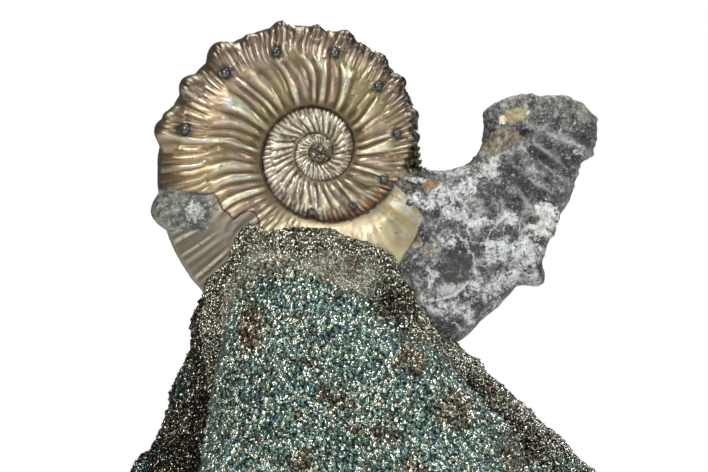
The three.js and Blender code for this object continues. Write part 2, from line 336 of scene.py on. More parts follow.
def rib_relief(real, own_turn, height):
    """Relief in millimetres and crest from -1 to 1. own_turn is the rib's turn, before its lean."""
    middle = (seam_radius(real) + edge_radius(real)) / 2
    main = np.interp(bundled(own_turn, real, height), TURNS, MAIN_COUNT)
    main = ribs(main + 0.16 * uneven(main, 0.61))
    fine = np.interp(own_turn, TURNS, FINE_COUNT)
    fine = ribs(fine + 0.15 * uneven(fine, 0.47, 1.7))
    row = table_value(BEAD_ROW, real)
    early_end = 0.18 * smoothstep(0.33, 0.42, real)
    inner = 1 - smoothstep(row - 0.16 - early_end, row - 0.01 - early_end / 2, height)
    outer_start = row - 0.14 - 0.12 * plateau(0.42, 0.48, 0.56, 0.6, real)
    outer = smoothstep(outer_start, outer_start + 0.16, height) * (1 - smoothstep(0.92, 0.985, height))
    foot = smoothstep(0.0, 0.09, height)
    worn = smoothstep(0.65, 0.72, real)
    inner = inner * foot * (1 - 0.94 * worn)
    outer = outer * (1 - 0.75 * worn * (1 - smoothstep(0.5, 0.7, height)))
    depth = shell_settings().rib_depth
    main_width = np.radians(table_value(MAIN_SPACING, real)) * middle
    fine_width = np.radians(table_value(FINE_SPACING, real)) * middle
    relief = depth * (main_width * (2 * main - 1) * inner + 1.25 * fine_width * (2 * fine - 1) * outer)
    crest = (2 * main - 1) * inner + (1.8 * fine - 1) * outer * 0.85
    return relief, crest


def segment_distance(points, start, end):
    """How far points lie from a segment of x and z."""
    (x0, z0), (x1, z1) = start, end
    dx, dz = x1 - x0, z1 - z0
    right, up = points[:, 0] - x0, points[:, 2] - z0
    share = np.clip((right * dx + up * dz) / (dx * dx + dz * dz), 0, 1)
    return np.hypot(right - share * dx, up - share * dz)


def inside_depth(points, outline):
    """How far points lie inside an outline of x and z, in millimetres. Outside it is negative."""
    x, z = points[:, 0], points[:, 2]
    inside = np.zeros(len(points), bool)
    nearest = np.full(len(points), np.inf)
    for (x0, z0), (x1, z1) in zip(outline, outline[1:] + outline[:1]):
        nearest = np.minimum(nearest, segment_distance(points, (x0, z0), (x1, z1)))
        if z0 != z1:
            inside ^= ((z0 > z) != (z1 > z)) & (x < x0 + (z - z0) * (x1 - x0) / (z1 - z0))
    return np.where(inside, nearest, -nearest)


def nearness(points, spot, radius):
    """1 at a spot and 0 from its radius outwards."""
    return np.clip(1 - np.linalg.norm(points - spot, axis=1) / radius, 0, 1)


def bead_size(turn):
    return math.sqrt(float(edge_radius(turn) - seam_radius(turn)) / 9)


def around_of(height, side):
    """Where on the section a height of the outer half lies."""
    outer = SECTION_CURVE[:, 0] > 0.2
    half = float(np.interp(height, SECTION_CURVE[outer, 0], SECTION_PLACE[outer]))
    return half / 2 if side < 0 else 1 - half / 2


def shell_spot(degrees, height, side):
    """A point of the bare coil at a real growth angle, and its outward normal."""
    turn = degrees / 360
    place = np.array([turn - float(rib_lean(turn, height))]), np.array([around_of(height, side)])
    return coil_surface(*place)[0][0], surface_normals(coil_surface, *place)[0]


def near_spots(points, degrees, height, radius):
    """Nearness to a spot on the front, and to its twin on the back."""
    return [nearness(points, shell_spot(degrees, height, side)[0], radius) for side in (-1, 1)]


# Making meshes


def activate(*objects):
    bpy.ops.object.select_all(action="DESELECT")
    for obj in objects:
        obj.select_set(True)
    bpy.context.view_layer.objects.active = objects[0]


def added(operator, name, **settings):
    """A new object from one of Blender's add operators, with nothing else selected."""
    bpy.ops.object.select_all(action="DESELECT")
    operator(**settings)
    bpy.context.object.name = name
    return bpy.context.object


def ball(radius, place, subdivisions, scale=(1, 1, 1), turn=(0, 0, 0)):
    """A sphere of triangles, its radius in millimetres and its place in metres."""
    add = bpy.ops.mesh.primitive_ico_sphere_add
    obj = added(add, "ball", subdivisions=subdivisions, radius=radius * MM, location=place)
    obj.scale, obj.rotation_euler = scale, turn
    return obj


def joined(name, parts):
    """Parts made one mesh, with their places, turns and scales taken into it."""
    activate(*parts)
    bpy.ops.object.transform_apply(location=True, rotation=True, scale=True)
    bpy.ops.object.join()
    whole = bpy.context.object
    whole.name = whole.data.name = name
    bpy.ops.object.transform_apply(location=True, rotation=True, scale=True)
    return whole


def edit_all(obj, step):
    """Runs one step in edit mode on the whole of a mesh, then turns its faces outwards."""
    activate(obj)
    bpy.ops.object.mode_set(mode="EDIT")
    bpy.ops.mesh.select_all(action="SELECT")
    step()
    bpy.ops.mesh.select_all(action="SELECT")
    bpy.ops.mesh.normals_make_consistent(inside=False)
    bpy.ops.object.mode_set(mode="OBJECT")


def get_points(mesh):
    """A mesh's vertices, in metres."""
    flat = np.empty(len(mesh.vertices) * 3, np.float32)
    mesh.vertices.foreach_get("co", flat)
    return flat.reshape(-1, 3)


def set_points(mesh, points):
    """Moves a mesh's vertices to points in millimetres."""
    mesh.vertices.foreach_set("co", (points * MM).astype(np.float32).ravel())


def set_attribute(mesh, name, values):
    mesh.attributes.new(name, "FLOAT", "POINT").data.foreach_set("value", np.asarray(values, np.float32))


def tube_from_grid(name, steps, around_steps, mapping):
    """A closed tube: a grid bent onto a formula that gives points in millimetres and attributes, then welded."""
    add = bpy.ops.mesh.primitive_grid_add
    tube = added(add, name, x_subdivisions=steps, y_subdivisions=around_steps, size=1)
    tube.data.name = name
    flat = get_points(tube.data).astype(float) + 0.5
    rows, columns = np.rint(flat[:, 0] * steps).astype(int), np.rint(flat[:, 1] * around_steps)
    points, attributes = mapping(rows, columns / around_steps)
    set_points(tube.data, points)
    for attribute, values in attributes.items():
        set_attribute(tube.data, attribute, values)
    tube.data.update()
    edit_all(tube, partial(bpy.ops.mesh.remove_doubles, threshold=2e-6))
    bpy.ops.object.shade_smooth()
    return tube


def row_middles(points, rows):
    """The middle of each row of a tube's points."""
    middles = np.zeros((rows.max() + 1, 3))
    np.add.at(middles, rows, points)
    return middles / np.bincount(rows)[:, None]


def closed_ends(points, rows):
    """Draws a tube's outermost rows in towards their middles, so that it closes."""
    middles = row_middles(points, rows)
    shares = np.ones(len(middles))
    shares[:3] = 0, 0.6, 0.985
    shares[-3:] = 0.985, 0.6, 0
    return middles[rows] + (points - middles[rows]) * shares[rows][:, None]


def kept_piece(piece, material, node):
    piece.data.materials.clear()
    piece.data.materials.append(material)
    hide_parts(node)
    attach(piece, "root")


def wavy_noise(points, scale, phase=0.0):
    """Cheap irregular field over points in millimetres, about -1 to 1."""
    x, y, z = (points[:, k] / scale for k in range(3))
    total = np.sin(x * 1.7 + 1.9 * np.sin(z * 0.9 + phase) + phase) * np.cos(z * 1.5 - 1.3 * np.sin(x * 1.1 + y))
    total += 0.5 * np.sin(x * 3.9 - z * 2.7 + y * 2.2 + 2 * phase) * np.cos(z * 4.3 + x * 1.6 + 0.7)
    total += 0.3 * np.sin(x * 8.3 + z * 6.1 - y * 5.2 + phase) * np.cos(z * 7.9 - x * 5.3)
    return total / 1.4


# Materials


def shade(red, green, blue):
    """A linear colour from screen values of 0 to 255."""
    values = [v / 255 for v in (red, green, blue)]
    return (*[v / 12.92 if v <= 0.04045 else ((v + 0.055) / 1.055) ** 2.4 for v in values], 1.0)


class Finish:
    """A material's nodes, made one by one. tone is the colour so far; paint lays another over it."""

    def __init__(self, name):
        self.material = bpy.data.materials.new(name)
        self.material.use_nodes = True
        tree = self.material.node_tree
        self.nodes, self.links = tree.nodes, tree.links
        self.shader = self.nodes["Principled BSDF"]
        self.place = self.nodes.new("ShaderNodeTexCoord").outputs["Object"]
        self.tone = None

    def wire(self, source, target):
        """Takes a socket, a number, or a colour of three screen values."""
        if isinstance(source, bpy.types.NodeSocket):
            self.links.new(source, target)
        else:
            target.default_value = shade(*source) if isinstance(source, tuple) else source

    def node(self, kind, inputs, **settings):
        """A new node with its settings made and its inputs, by name or number, wired."""
        node = self.nodes.new("ShaderNode" + kind)
        for name, given in settings.items():
            setattr(node, name, given)
        for key, given in inputs.items():
            self.wire(given, node.inputs[key])
        return node

    def noise(self, per_mm, detail, roughness, distortion, seed):
        """Soft noise, with its grain given in waves a millimetre."""
        inputs = {
            "Vector": self.place, "Scale": per_mm / MM, "Detail": detail, "Roughness": roughness,
            "Distortion": distortion, "W": seed,
        }
        return self.node("TexNoise", inputs, noise_dimensions="4D").outputs["Fac"]

    def cell_walls(self, per_mm, warp):
        """Distance to the walls of crystal-like cells, bent by up to warp millimetres."""
        bend = self.node("TexNoise", {"Vector": self.place, "Scale": 0.7 / MM, "Detail": 3}).outputs["Color"]
        moved = self.node("VectorMath", {0: bend, 1: [warp * MM] * 3, 2: self.place}, operation="MULTIPLY_ADD")
        cells = {"Vector": moved.outputs[0], "Scale": per_mm / MM}
        return self.node("TexVoronoi", cells, feature="DISTANCE_TO_EDGE").outputs["Distance"]

    def value(self, name):
        """A value kept on the mesh."""
        return self.node("Attribute", {}, attribute_name=name).outputs["Fac"]

    def region(self, name, per_mm, reach, seed, low=0.3, high=0.5):
        """A marking kept on the mesh, with its rim broken up by noise."""
        rough = self.times(self.math("SUBTRACT", self.noise(per_mm, 5, 0.7, 0.3, seed), 0.5), reach * 2)
        return self.ramp(self.plus(self.value(name), rough), low, high)

    def math(self, operation, a, b=0.0):
        return self.node("Math", {0: a, 1: b}, operation=operation).outputs[0]

    def times(self, a, b):
        return self.math("MULTIPLY", a, b)

    def plus(self, a, b):
        return self.math("ADD", a, b)

    def most(self, a, b):
        return self.math("MAXIMUM", a, b)

    def ramp(self, source, low, high, to_low=0.0, to_high=1.0):
        """Carries a range onto another with soft ends."""
        inputs = dict(enumerate((source, low, high, to_low, to_high)))
        return self.node("MapRange", inputs, interpolation_type="SMOOTHSTEP").outputs[0]

    def patchy(self, noise, *limits):
        """Noise carried onto a range."""
        return self.ramp(self.noise(*noise), *limits)

    def mix(self, share, first, second):
        return self.node("Mix", {0: share, 6: first, 7: second}, data_type="RGBA").outputs[2]

    def colours(self, source, *stops):
        """Colours along a value, each stop its place and its screen colour."""
        node = self.node("ValToRGB", {0: source})
        elements = node.color_ramp.elements
        for extra in range(len(stops) - 2):
            elements.new(0.5 + extra * 0.01)
        for element, (place, *colour) in zip(elements, stops):
            element.position = place
            element.color = shade(*colour)
        return node.outputs[0]

    def mottled(self, noise, *stops):
        """Colours along noise."""
        return self.colours(self.noise(*noise), *stops)

    def paint(self, share, colour, strength=1):
        """Lays a colour over the tone."""
        if strength != 1:
            share = self.times(share, strength)
        self.tone = self.mix(share, self.tone, colour)

    def bump(self, *layers):
        """Adds layers of (noise, depth in millimetres) as fine relief."""
        inputs = {}
        for noise, depth in layers:
            inputs = {**inputs, "Strength": 1.0, "Distance": depth * MM, "Height": self.noise(*noise)}
            inputs["Normal"] = self.node("Bump", inputs).outputs["Normal"]
        self.wire(inputs["Normal"], self.shader.inputs["Normal"])

    def surface(self, **sockets):
        """Sets the shader's own sockets; a name's underscores stand for spaces."""
        for name, given in sockets.items():
            self.wire(given, self.shader.inputs[name.replace("_", " ")])
        return self.material


def nacre_finish():
    f = Finish("bronze_nacre")
    crest, silver, pearl, flaked_depth = (f.value(name) for name in ("crest", "silver", "pearl", "flaked"))
    f.tone = f.mottled(
        (0.16, 3, 0.6, 0.6, 1),
        (0.30, 114, 100, 68), (0.42, 129, 118, 82), (0.50, 137, 120, 95), (0.58, 144, 126, 110),
        (0.70, 128, 122, 84),
    )
    f.paint(silver, f.mottled(
        (0.9, 5, 0.75, 0.6, 8), (0.37, 92, 84, 74), (0.47, 148, 138, 120), (0.54, 172, 164, 144),
        (0.63, 188, 184, 170)
    ))
    f.paint(f.value("gold"), f.mottled((0.5, 3, 0.6, 0.8, 4), (0.35, 122, 101, 71), (0.65, 148, 127, 92)), 0.75)
    f.paint(f.value("rose"), f.mottled((0.5, 3, 0.6, 0.8, 6), (0.35, 108, 92, 78), (0.65, 138, 116, 104)), 0.8)
    # Painted highlight: pale, iridescent tints laid over the rib crests.
    f.paint(f.times(f.ramp(crest, 0.0, 0.95), f.patchy((0.35, 2, 0.5, 0, 5), 0.38, 0.6, 0.25, 0.85)), f.mottled(
        (0.5, 2, 0.5, 1.2, 2),
        (0.34, 206, 178, 168), (0.44, 222, 208, 176), (0.52, 208, 206, 168), (0.60, 178, 192, 176),
        (0.68, 204, 188, 200),
    ))
    sheen = f.plus(f.times(f.value("sheen"), 0.3), f.times(f.noise(0.7, 5, 0.7, 0.6, 7), 0.7))
    f.paint(pearl, f.colours(
        sheen,
        (0.36, 128, 110, 76), (0.44, 142, 128, 90), (0.49, 146, 138, 108), (0.54, 144, 148, 132),
        (0.59, 156, 152, 134), (0.68, 134, 122, 94),
    ))
    f.paint(f.value("band"), f.mottled((0.25, 3, 0.6, 0.4, 9), (0.35, 214, 200, 168), (0.65, 194, 178, 144)))
    # Painted shade: darkens the furrows between the ribs, more on the inner whorls.
    f.paint(f.ramp(crest, 0.1, -0.85, 0.0, f.plus(f.times(silver, 0.2), 0.62)), (74, 62, 44))
    rim = f.times(f.ramp(f.value("height"), 0.72, 0.96), f.patchy((0.5, 3, 0.6, 0.3, 3), 0.35, 0.6, 0.35, 0.85))
    f.paint(rim, (92, 82, 68))
    f.paint(f.patchy((2.2, 2, 0.6, 0, 11), 0.64, 0.71), (46, 38, 28), 0.7)
    f.paint(f.times(f.value("grains"), f.patchy((1.7, 3, 0.7, 0, 12), 0.44, 0.52)), (38, 36, 30))
    f.paint(f.ramp(f.value("cap"), 0.55, 0.9, 0.0, 0.55), (70, 58, 48))
    f.paint(f.ramp(f.value("halo"), 0.3, 0.62, 0.0, 0.85), (48, 44, 38))
    flaked = f.ramp(flaked_depth, 0.48, 0.54)
    # Painted shade: the flaked stone is darker in the rib furrows than on the crests.
    stone_with_furrow_shade = f.mix(f.ramp(crest, -0.3, 0.8), (92, 84, 72), f.mottled(
        (1.1, 5, 0.7, 0.5, 14), (0.38, 106, 100, 88), (0.48, 174, 170, 157), (0.6, 184, 170, 142)
    ))
    f.paint(flaked, stone_with_furrow_shade, 0.8)
    mould = f.ramp(f.plus(f.value("mould"), f.times(f.noise(1, 3, 0.6, 0, 13), 0.5)), 0.6, 0.85)
    f.paint(mould, f.mottled(
        (1.1, 5, 0.72, 0.5, 15), (0.36, 38, 41, 40), (0.45, 80, 84, 82), (0.53, 110, 109, 96),
        (0.63, 150, 152, 144)
    ))
    edge = f.math("ABSOLUTE", f.math("SUBTRACT", flaked_depth, 0.5))
    f.paint(f.times(f.ramp(edge, 0.15, 0.07), f.value("cracked")), (66, 46, 28), 0.9)
    # Red-brown stain, partly painted shade of the gap under the last whorl's wall.
    f.paint(f.value("red"), (104, 54, 24), 0.8)
    # Dark dirt and painted shade along the seams and at the centre.
    dirt_and_shade_share = f.ramp(f.plus(f.value("grime"), f.times(f.noise(1.4, 4, 0.7, 0, 17), 2.4)), 1.55, 2.05)
    f.paint(dirt_and_shade_share, f.mottled((1.5, 3, 0.6, 0, 18), (0.4, 30, 24, 17), (0.6, 74, 60, 40)))
    crumbs = f.plus(f.value("scar"), f.times(f.noise(1.3, 5, 0.75, 0, 19), 2.0))
    f.paint(f.ramp(crumbs, 1.22, 1.4), (62, 64, 60))
    scar = f.ramp(crumbs, 1.42, 1.62)
    f.paint(scar, f.mottled((2.6, 5, 0.75, 0, 34), (0.4, 86, 88, 82), (0.48, 156, 159, 154), (0.6, 204, 207, 202)))
    dull = f.most(f.most(mould, scar), f.most(dirt_and_shade_share, f.times(flaked, 0.8)))
    rough = f.plus(f.patchy((0.9, 3, 0.6, 0, 21), 0.3, 0.7, 0.27, 0.44), f.times(dull, 0.25))
    rough = f.plus(rough, f.times(f.most(flaked, pearl), 0.2))
    f.bump(((3.2, 4, 0.65, 0.2, 23), 0.04), ((9, 3, 0.6, 0, 25), 0.014))
    metal = f.ramp(dull, 0.0, 1.0, 0.74, 0.15)
    return f.surface(Base_Color=f.tone, Metallic=metal, Roughness=rough, Coat_Weight=0.25, Coat_Roughness=0.2)


def bead_finish():
    f = Finish("dark_bead")
    tone = f.mottled((1, 3, 0.6, 0, 1), (0.35, 34, 36, 38), (0.65, 84, 86, 82))
    f.bump(((3, 2, 0.5, 0, 2), 0.012))
    return f.surface(Base_Color=tone, Metallic=0.55, Roughness=0.28, Coat_Weight=0.5, Coat_Roughness=0.1)


def gritty_finish(name):
    f = Finish(name)
    stops = (0.40, 14, 12, 9), (0.49, 46, 42, 30), (0.56, 98, 92, 68), (0.64, 196, 192, 174)
    f.bump(((4, 3, 0.6, 0, 2), 0.05))
    return f.surface(Base_Color=f.mottled((2.4, 4, 0.75, 0.2, 1), *stops), Metallic=0.4, Roughness=0.4)


def chamber_finish():
    f = Finish("living_chamber_stone")
    f.tone = f.mottled(
        (0.4, 7, 0.72, 0.3, 1), (0.38, 18, 17, 18), (0.46, 54, 53, 53), (0.52, 98, 97, 96),
        (0.61, 174, 173, 168)
    )
    f.paint(f.times(f.value("end"), f.patchy((0.7, 3, 0.6, 0, 2), 0.42, 0.58, 0.0, 0.8)), f.mottled(
        (1.6, 4, 0.7, 0, 27), (0.38, 54, 52, 42), (0.5, 108, 106, 90), (0.62, 140, 138, 116)
    ))
    f.paint(f.region("shade", 1.1, 0.9, 3), f.mottled((1.8, 4, 0.7, 0, 17), (0.36, 24, 23, 24), (0.6, 68, 66, 66)))
    # Painted highlight on the ridges and painted shade in the furrows.
    f.paint(f.value("ridge"), (176, 175, 178), 0.72)
    f.paint(f.value("furrow"), (34, 32, 36), 0.85)
    f.paint(f.region("olive", 0.9, 0.9, 5), f.mottled(
        (0.9, 4, 0.65, 0.4, 4), (0.36, 84, 66, 44), (0.48, 122, 110, 86), (0.62, 150, 146, 122)
    ))
    powder = f.region("powder", 0.8, 1.35, 9, 0.28, 0.58)
    chalk = f.mottled((2, 6, 0.78, 0, 11), (0.36, 100, 102, 99), (0.46, 174, 177, 173), (0.57, 226, 229, 226))
    f.paint(powder, chalk, 0.9)
    cracks = f.ramp(f.cell_walls(0.75, 1.2), 0.06, 0.0, 0.0, 0.75)
    cracks = f.times(cracks, f.patchy((0.9, 3, 0.6, 0, 13), 0.46, 0.6))
    f.paint(f.times(cracks, f.ramp(f.value("web"), 0.1, 0.5)), (196, 198, 200))
    # Grains of salt, blotches and grains of pepper.
    f.paint(f.patchy((3, 4, 0.8, 0, 5), 0.52, 0.64, 0.0, 0.75), (184, 186, 184))
    f.paint(f.patchy((1.1, 5, 0.72, 0.3, 32), 0.53, 0.62, 0.0, 0.75), (38, 37, 39))
    f.paint(f.patchy((2.7, 5, 0.8, 0, 7), 0.52, 0.62, 0.0, 0.88), (24, 23, 25))
    f.paint(f.region("lens", 0.7, 0.42, 15, 0.14, 0.24), f.mottled(
        (1.8, 4, 0.7, 0, 17), (0.4, 44, 43, 42), (0.56, 70, 69, 67), (0.64, 122, 120, 116)
    ))
    vein = f.math("SUBTRACT", f.value("vein"), f.patchy((2.2, 4, 0.7, 0, 28), 0.4, 0.64, 0.0, 0.85))
    vein = f.ramp(vein, 0.05, 0.5, 0.0, 0.75)
    f.paint(vein, (196, 199, 200))
    f.paint(f.region("fire", 1, 1, 19), f.mottled(
        (1, 3, 0.6, 0.8, 21),
        (0.36, 176, 118, 88), (0.45, 140, 122, 94), (0.52, 178, 168, 128), (0.58, 146, 168, 140),
        (0.66, 112, 102, 82),
    ), 0.8)
    f.paint(f.region("spark", 1.4, 0.9, 20), f.mottled(
        (1.6, 3, 0.6, 0.6, 29),
        (0.38, 214, 160, 130), (0.46, 214, 208, 160), (0.53, 226, 232, 218), (0.61, 156, 198, 176),
    ))
    rusty = f.mottled((1.6, 3, 0.6, 0.4, 30), (0.4, 112, 88, 64), (0.6, 152, 126, 98))
    f.paint(f.region("rust", 1.2, 0.8, 22), rusty, 0.9)
    scar = f.region("scar", 1.3, 1.2, 24)
    f.paint(scar, f.mottled((2, 5, 0.78, 0, 26), (0.36, 84, 84, 80), (0.44, 190, 191, 186), (0.58, 228, 229, 224)))
    f.paint(f.region("hole", 1.6, 1, 31, 0.25, 0.7), (28, 22, 19))
    dull = f.most(f.most(powder, vein), scar)
    f.bump(((1.6, 6, 0.75, 0.2, 23), 0.2), ((6, 4, 0.7, 0, 25), 0.07))
    metal, rough = f.ramp(dull, 0.0, 1.0, 0.25, 0.0), f.ramp(dull, 0.0, 1.0, 0.45, 0.85)
    return f.surface(Base_Color=f.tone, Metallic=metal, Roughness=rough)


def bedrock_finish():
    f = Finish("rock_under_crystals")
    body = f.mottled((0.5, 4, 0.65, 0.2, 1), (0.3, 13, 12, 10), (0.5, 30, 28, 24), (0.7, 52, 48, 40))
    f.bump(((2.5, 4, 0.7, 0, 3), 0.15))
    return f.surface(Base_Color=body, Metallic=0.3, Roughness=0.5)


def crystal_finish():
    """Tarnish goes from russet over brass, moss and teal to slate blue."""
    f = Finish("pyrite_crystals")
    tarnish, grain, dust = f.value("tarnish"), f.value("grain"), f.value("dust")
    dark = f.colours(
        tarnish,
        (0.0, 24, 15, 10), (0.18, 20, 17, 12), (0.38, 28, 26, 22), (0.54, 34, 44, 37), (0.70, 34, 54, 54),
        (0.84, 34, 48, 58), (1.0, 38, 42, 54),
    )
    dusty = f.colours(
        tarnish,
        (0.0, 84, 64, 48), (0.18, 92, 83, 68), (0.38, 104, 102, 94), (0.54, 88, 102, 88),
        (0.70, 74, 104, 100), (0.84, 72, 96, 108), (1.0, 80, 88, 104),
    )
    middle = f.colours(
        tarnish,
        (0.0, 128, 98, 70), (0.18, 130, 117, 90), (0.38, 142, 139, 124), (0.54, 128, 144, 122),
        (0.70, 110, 142, 132), (0.84, 104, 128, 136), (1.0, 112, 118, 132),
    )
    grain = f.times(grain, f.patchy((5, 3, 0.7, 0, 1), 0.42, 0.54, 0.3, 1.15))
    f.tone = f.mix(f.ramp(grain, 0.0, 0.5), f.mix(dust, dark, dusty), middle)
    f.paint(f.ramp(grain, 0.55, 1.0), f.mix(dust, (240, 238, 224), (196, 200, 188)))
    rough = f.plus(f.ramp(grain, 0.0, 1.0, 0.24, 0.12), f.times(dust, 0.16))
    return f.surface(Base_Color=f.tone, Metallic=f.ramp(dust, 0.0, 1.0, 1.0, 0.7), Roughness=rough)


def floor_finish():
    return Finish("pale_floor").surface(Base_Color=(240, 240, 240), Roughness=0.7)


# Operators


class FOSSIL_OT_coil(bpy.types.Operator):
    """Builds the nacreous coil: the inner whorls, the last whorl and their dark beads"""

    bl_idname = "fossil.coil"
    bl_label = "Coil"

    # Rows along and columns around each tube of the coil.
    inner_grid = (900, 96)
    outer_grid = (920, 106)
    margin = 3  # rows past each end of a tube, drawn in under the next piece
    white_scar = (206.4, 0.675, -1)  # degrees, height and side of the crumbly patch on the mould
    scar_radius = 2.1
    # The gritty hollow and its one small bead on each face: radius, side, depth, in millimetres, and flatness.
    core_parts = [(1.75, 0, 0, 0.2), (0.34, -1, 0.25, 0.8), (0.34, 1, 0.25, 0.8)]

    def execute(self, context):
        nacre = nacre_finish()
        inner = self.whorls("inner_whorls", FIRST_TURN, 0.0, *self.inner_grid)
        outer = self.whorls("last_whorl", 0.0, NACRE_END[0][1], *self.outer_grid)
        for piece in (inner, outer):
            kept_piece(piece, nacre, "ammonite")
        kept_piece(self.beads(), bead_finish(), "ammonite")
        kept_piece(self.core(), gritty_finish("gritty_centre"), "ammonite")
        return {"FINISHED"}

    def core(self):
        centre = Vector(shell_settings().centre)
        made = []
        for radius, side, depth, flat in self.core_parts:
            place = centre + Vector((0.05, side * depth, -0.05 if side else 0)) * MM
            made.append(ball(radius, place, 3 if side else 5, (1, flat, 1)))
        core = joined("coil_centre", made)
        points = get_points(core.data).astype(float) / MM
        points[:, 1] += 0.11 * wavy_noise(points, 0.22) * np.sign(points[:, 1] - centre.y / MM)
        set_points(core.data, points)
        activate(core)
        bpy.ops.object.shade_smooth()
        return core

    def whorls(self, name, first, last, steps, around_steps):
        def mapping(rows, around):
            share = (rows - self.margin) / (steps - 2 * self.margin)
            points, attributes = self.dressed(self.turn_of(share, first, last), around)
            return closed_ends(points, rows), attributes

        return tube_from_grid(name, steps, around_steps, mapping)

    def turn_of(self, share, first, last):
        """Rows are closer together, in turns, on the wider whorls."""
        if first < 0:
            return first + (last - first) * (1.35 * share - 0.35 * share**2)
        return np.interp(share, [-0.1, 0, 0.8, 1, 1.1], [-0.065, 0, 0.65, last, last + 0.14])

    def surface(self, turn, around):
        """The bare coil, its last rows turned to lie along the nacre's broken edge."""
        height = section(around)[0]
        late = np.clip((turn - FOLLOWS_NACRE) / (NACRE_END[0][1] - FOLLOWS_NACRE), 0, 1.05)
        edge = table_value(NACRE_END, height) - rib_lean(0.9, height)
        ended = FOLLOWS_NACRE + (edge - FOLLOWS_NACRE) * late
        return coil_surface(np.where(turn > FOLLOWS_NACRE, ended, turn), around)

    def dressed(self, turn, around):
        """The surface with its relief, and the values that its finish reads."""
        points, real, height, side = self.surface(turn, around)
        normal = surface_normals(self.surface, turn, around)
        x, _, z = points.T
        relief, crest = rib_relief(real, real - rib_lean(turn, height), height)
        last = real > 0
        relief = relief + 0.03 * wavy_noise(points, 1.1) * (real > -0.9) * (2 - last)
        relief += 0.07 * wavy_noise(points, 3.1, 1.0) * last
        grains = last * smoothstep(0.8, 0.9, height) * smoothstep(0.26, 0.16, real)
        relief += 0.07 * grains * wavy_noise(points, 0.28, 4.0)
        raised, cap, halo = self.tubercles(points)
        scar = nearness(points, shell_spot(*self.white_scar)[0], self.scar_radius)
        relief += raised + 0.4 * smoothstep(0.1, 0.7, scar)
        relief += 0.3 * smoothstep(0.2, 0.5, scar) * wavy_noise(points, 0.3)
        flaked = np.where(side < 0, inside_depth(points, FLAKED), -2)
        relief -= 0.09 * smoothstep(-0.05, 0.06, flaked)
        grime, red = self.darkened_seams(x, z, real, height)
        return points + normal * relief[:, None], {
            "crest": crest,
            "height": np.where(real < 0, 0.5, height),
            "cap": cap,
            "halo": halo,
            "grains": grains,
            "scar": scar,
            "flaked": np.clip(0.5 + flaked, 0, 1),
            "cracked": smoothstep(-21.2, -20.2, x),
            "mould": (flaked > -0.3) * smoothstep(-17.6, -19.2, x) * smoothstep(39.6, 42.0, z),
            "grime": grime,
            "red": red,
            "silver": 1 - smoothstep(-0.35, 0.0, real),
            "gold": last * plateau(0.38, 0.46, 0.54, 0.6, real) * smoothstep(0.35, 0.6, height),
            "rose": last * plateau(0.02, 0.1, 0.38, 0.48, real) * smoothstep(0.6, 0.8, height),
            "pearl": smoothstep(0.8, 0.92, real + 0.03 * wavy_noise(points, 1.6, 7.0)),
            "sheen": 0.5 + 0.3 * uneven(real * 360, 0.24),
            "band": plateau(0.62, 0.72, 0.84, 0.88, real),
        }

    def tubercles(self, points):
        """How far the shoulder bumps and the bosses under the side beads stand out, and how near each kind is."""
        raised, cap, halo = np.zeros((3, len(points)))
        for degrees, size in SHOULDER_BUMPS:
            radius = shell_settings().bump_radius / MM * size * bead_size(degrees / 360)
            for near in near_spots(points, degrees, SHOULDER_ROW, radius * 1.55):
                raised += radius * 1.05 * (1 - (1 - near) ** 2) ** 1.6
                cap = np.maximum(cap, near * min(size, 1))
        for degrees, radius in SIDE_BEADS:
            for near in near_spots(points, degrees, self.row_of(degrees, radius), 1.5 * bead_size(degrees / 360)):
                raised += 0.2 * smoothstep(0, 1, near)
                halo = np.maximum(halo, near)
        return raised, cap, halo

    def darkened_seams(self, x, z, real, height):
        """Dirt and painted shade in the seams and centre, and a red stain with painted shade above the last whorl's
        edge.
        """
        centre = coil_centre()
        below_next = seam_radius(real + 1) - np.hypot(x - centre[0], z - centre[2])
        covered = np.where(real < -0.06, 1 - smoothstep(0, 0.42, below_next), 0) * np.where(real < -1.06, 0.3, 1)
        grime = np.maximum(covered, 1 - smoothstep(0.0, 0.04, height))
        grime = np.maximum(grime, 0.8 * (1 - smoothstep(-2.0, -1.7, real)))
        # The red stain lies in the crease beside the next whorl's seam, partly as painted shade.
        red = smoothstep(1.5, 0.1, below_next) * plateau(-0.28, -0.2, -0.08, -0.03, real)
        return grime, red

    def row_of(self, degrees, radius):
        turn = degrees / 360
        low, high = float(seam_radius(turn)), float(edge_radius(turn))
        return (radius - low) / (high - low)

    def beads(self):
        """A dark, nearly round bead on each side tubercle, in one mesh. Those on the inner whorls are sunk."""
        made = []
        for degrees, radius in SIDE_BEADS:
            size = shell_settings().bead_radius * bead_size(degrees / 360)
            for side in (-1, 1):
                spot, normal = shell_spot(degrees, self.row_of(degrees, radius), side)
                place = spot * MM + normal * size * (0.35 if degrees > -40 else -0.15)
                add = bpy.ops.mesh.primitive_uv_sphere_add
                bead = added(add, "bead", segments=20, ring_count=12, radius=size, location=place)
                bead.rotation_euler = Vector(normal).to_track_quat("Z", "Y").to_euler()
                bead.scale = (1, 1.08, 0.85)
                made.append(bead)
        beads = joined("side_tubercles", made)
        bpy.ops.object.shade_smooth()
        return beads


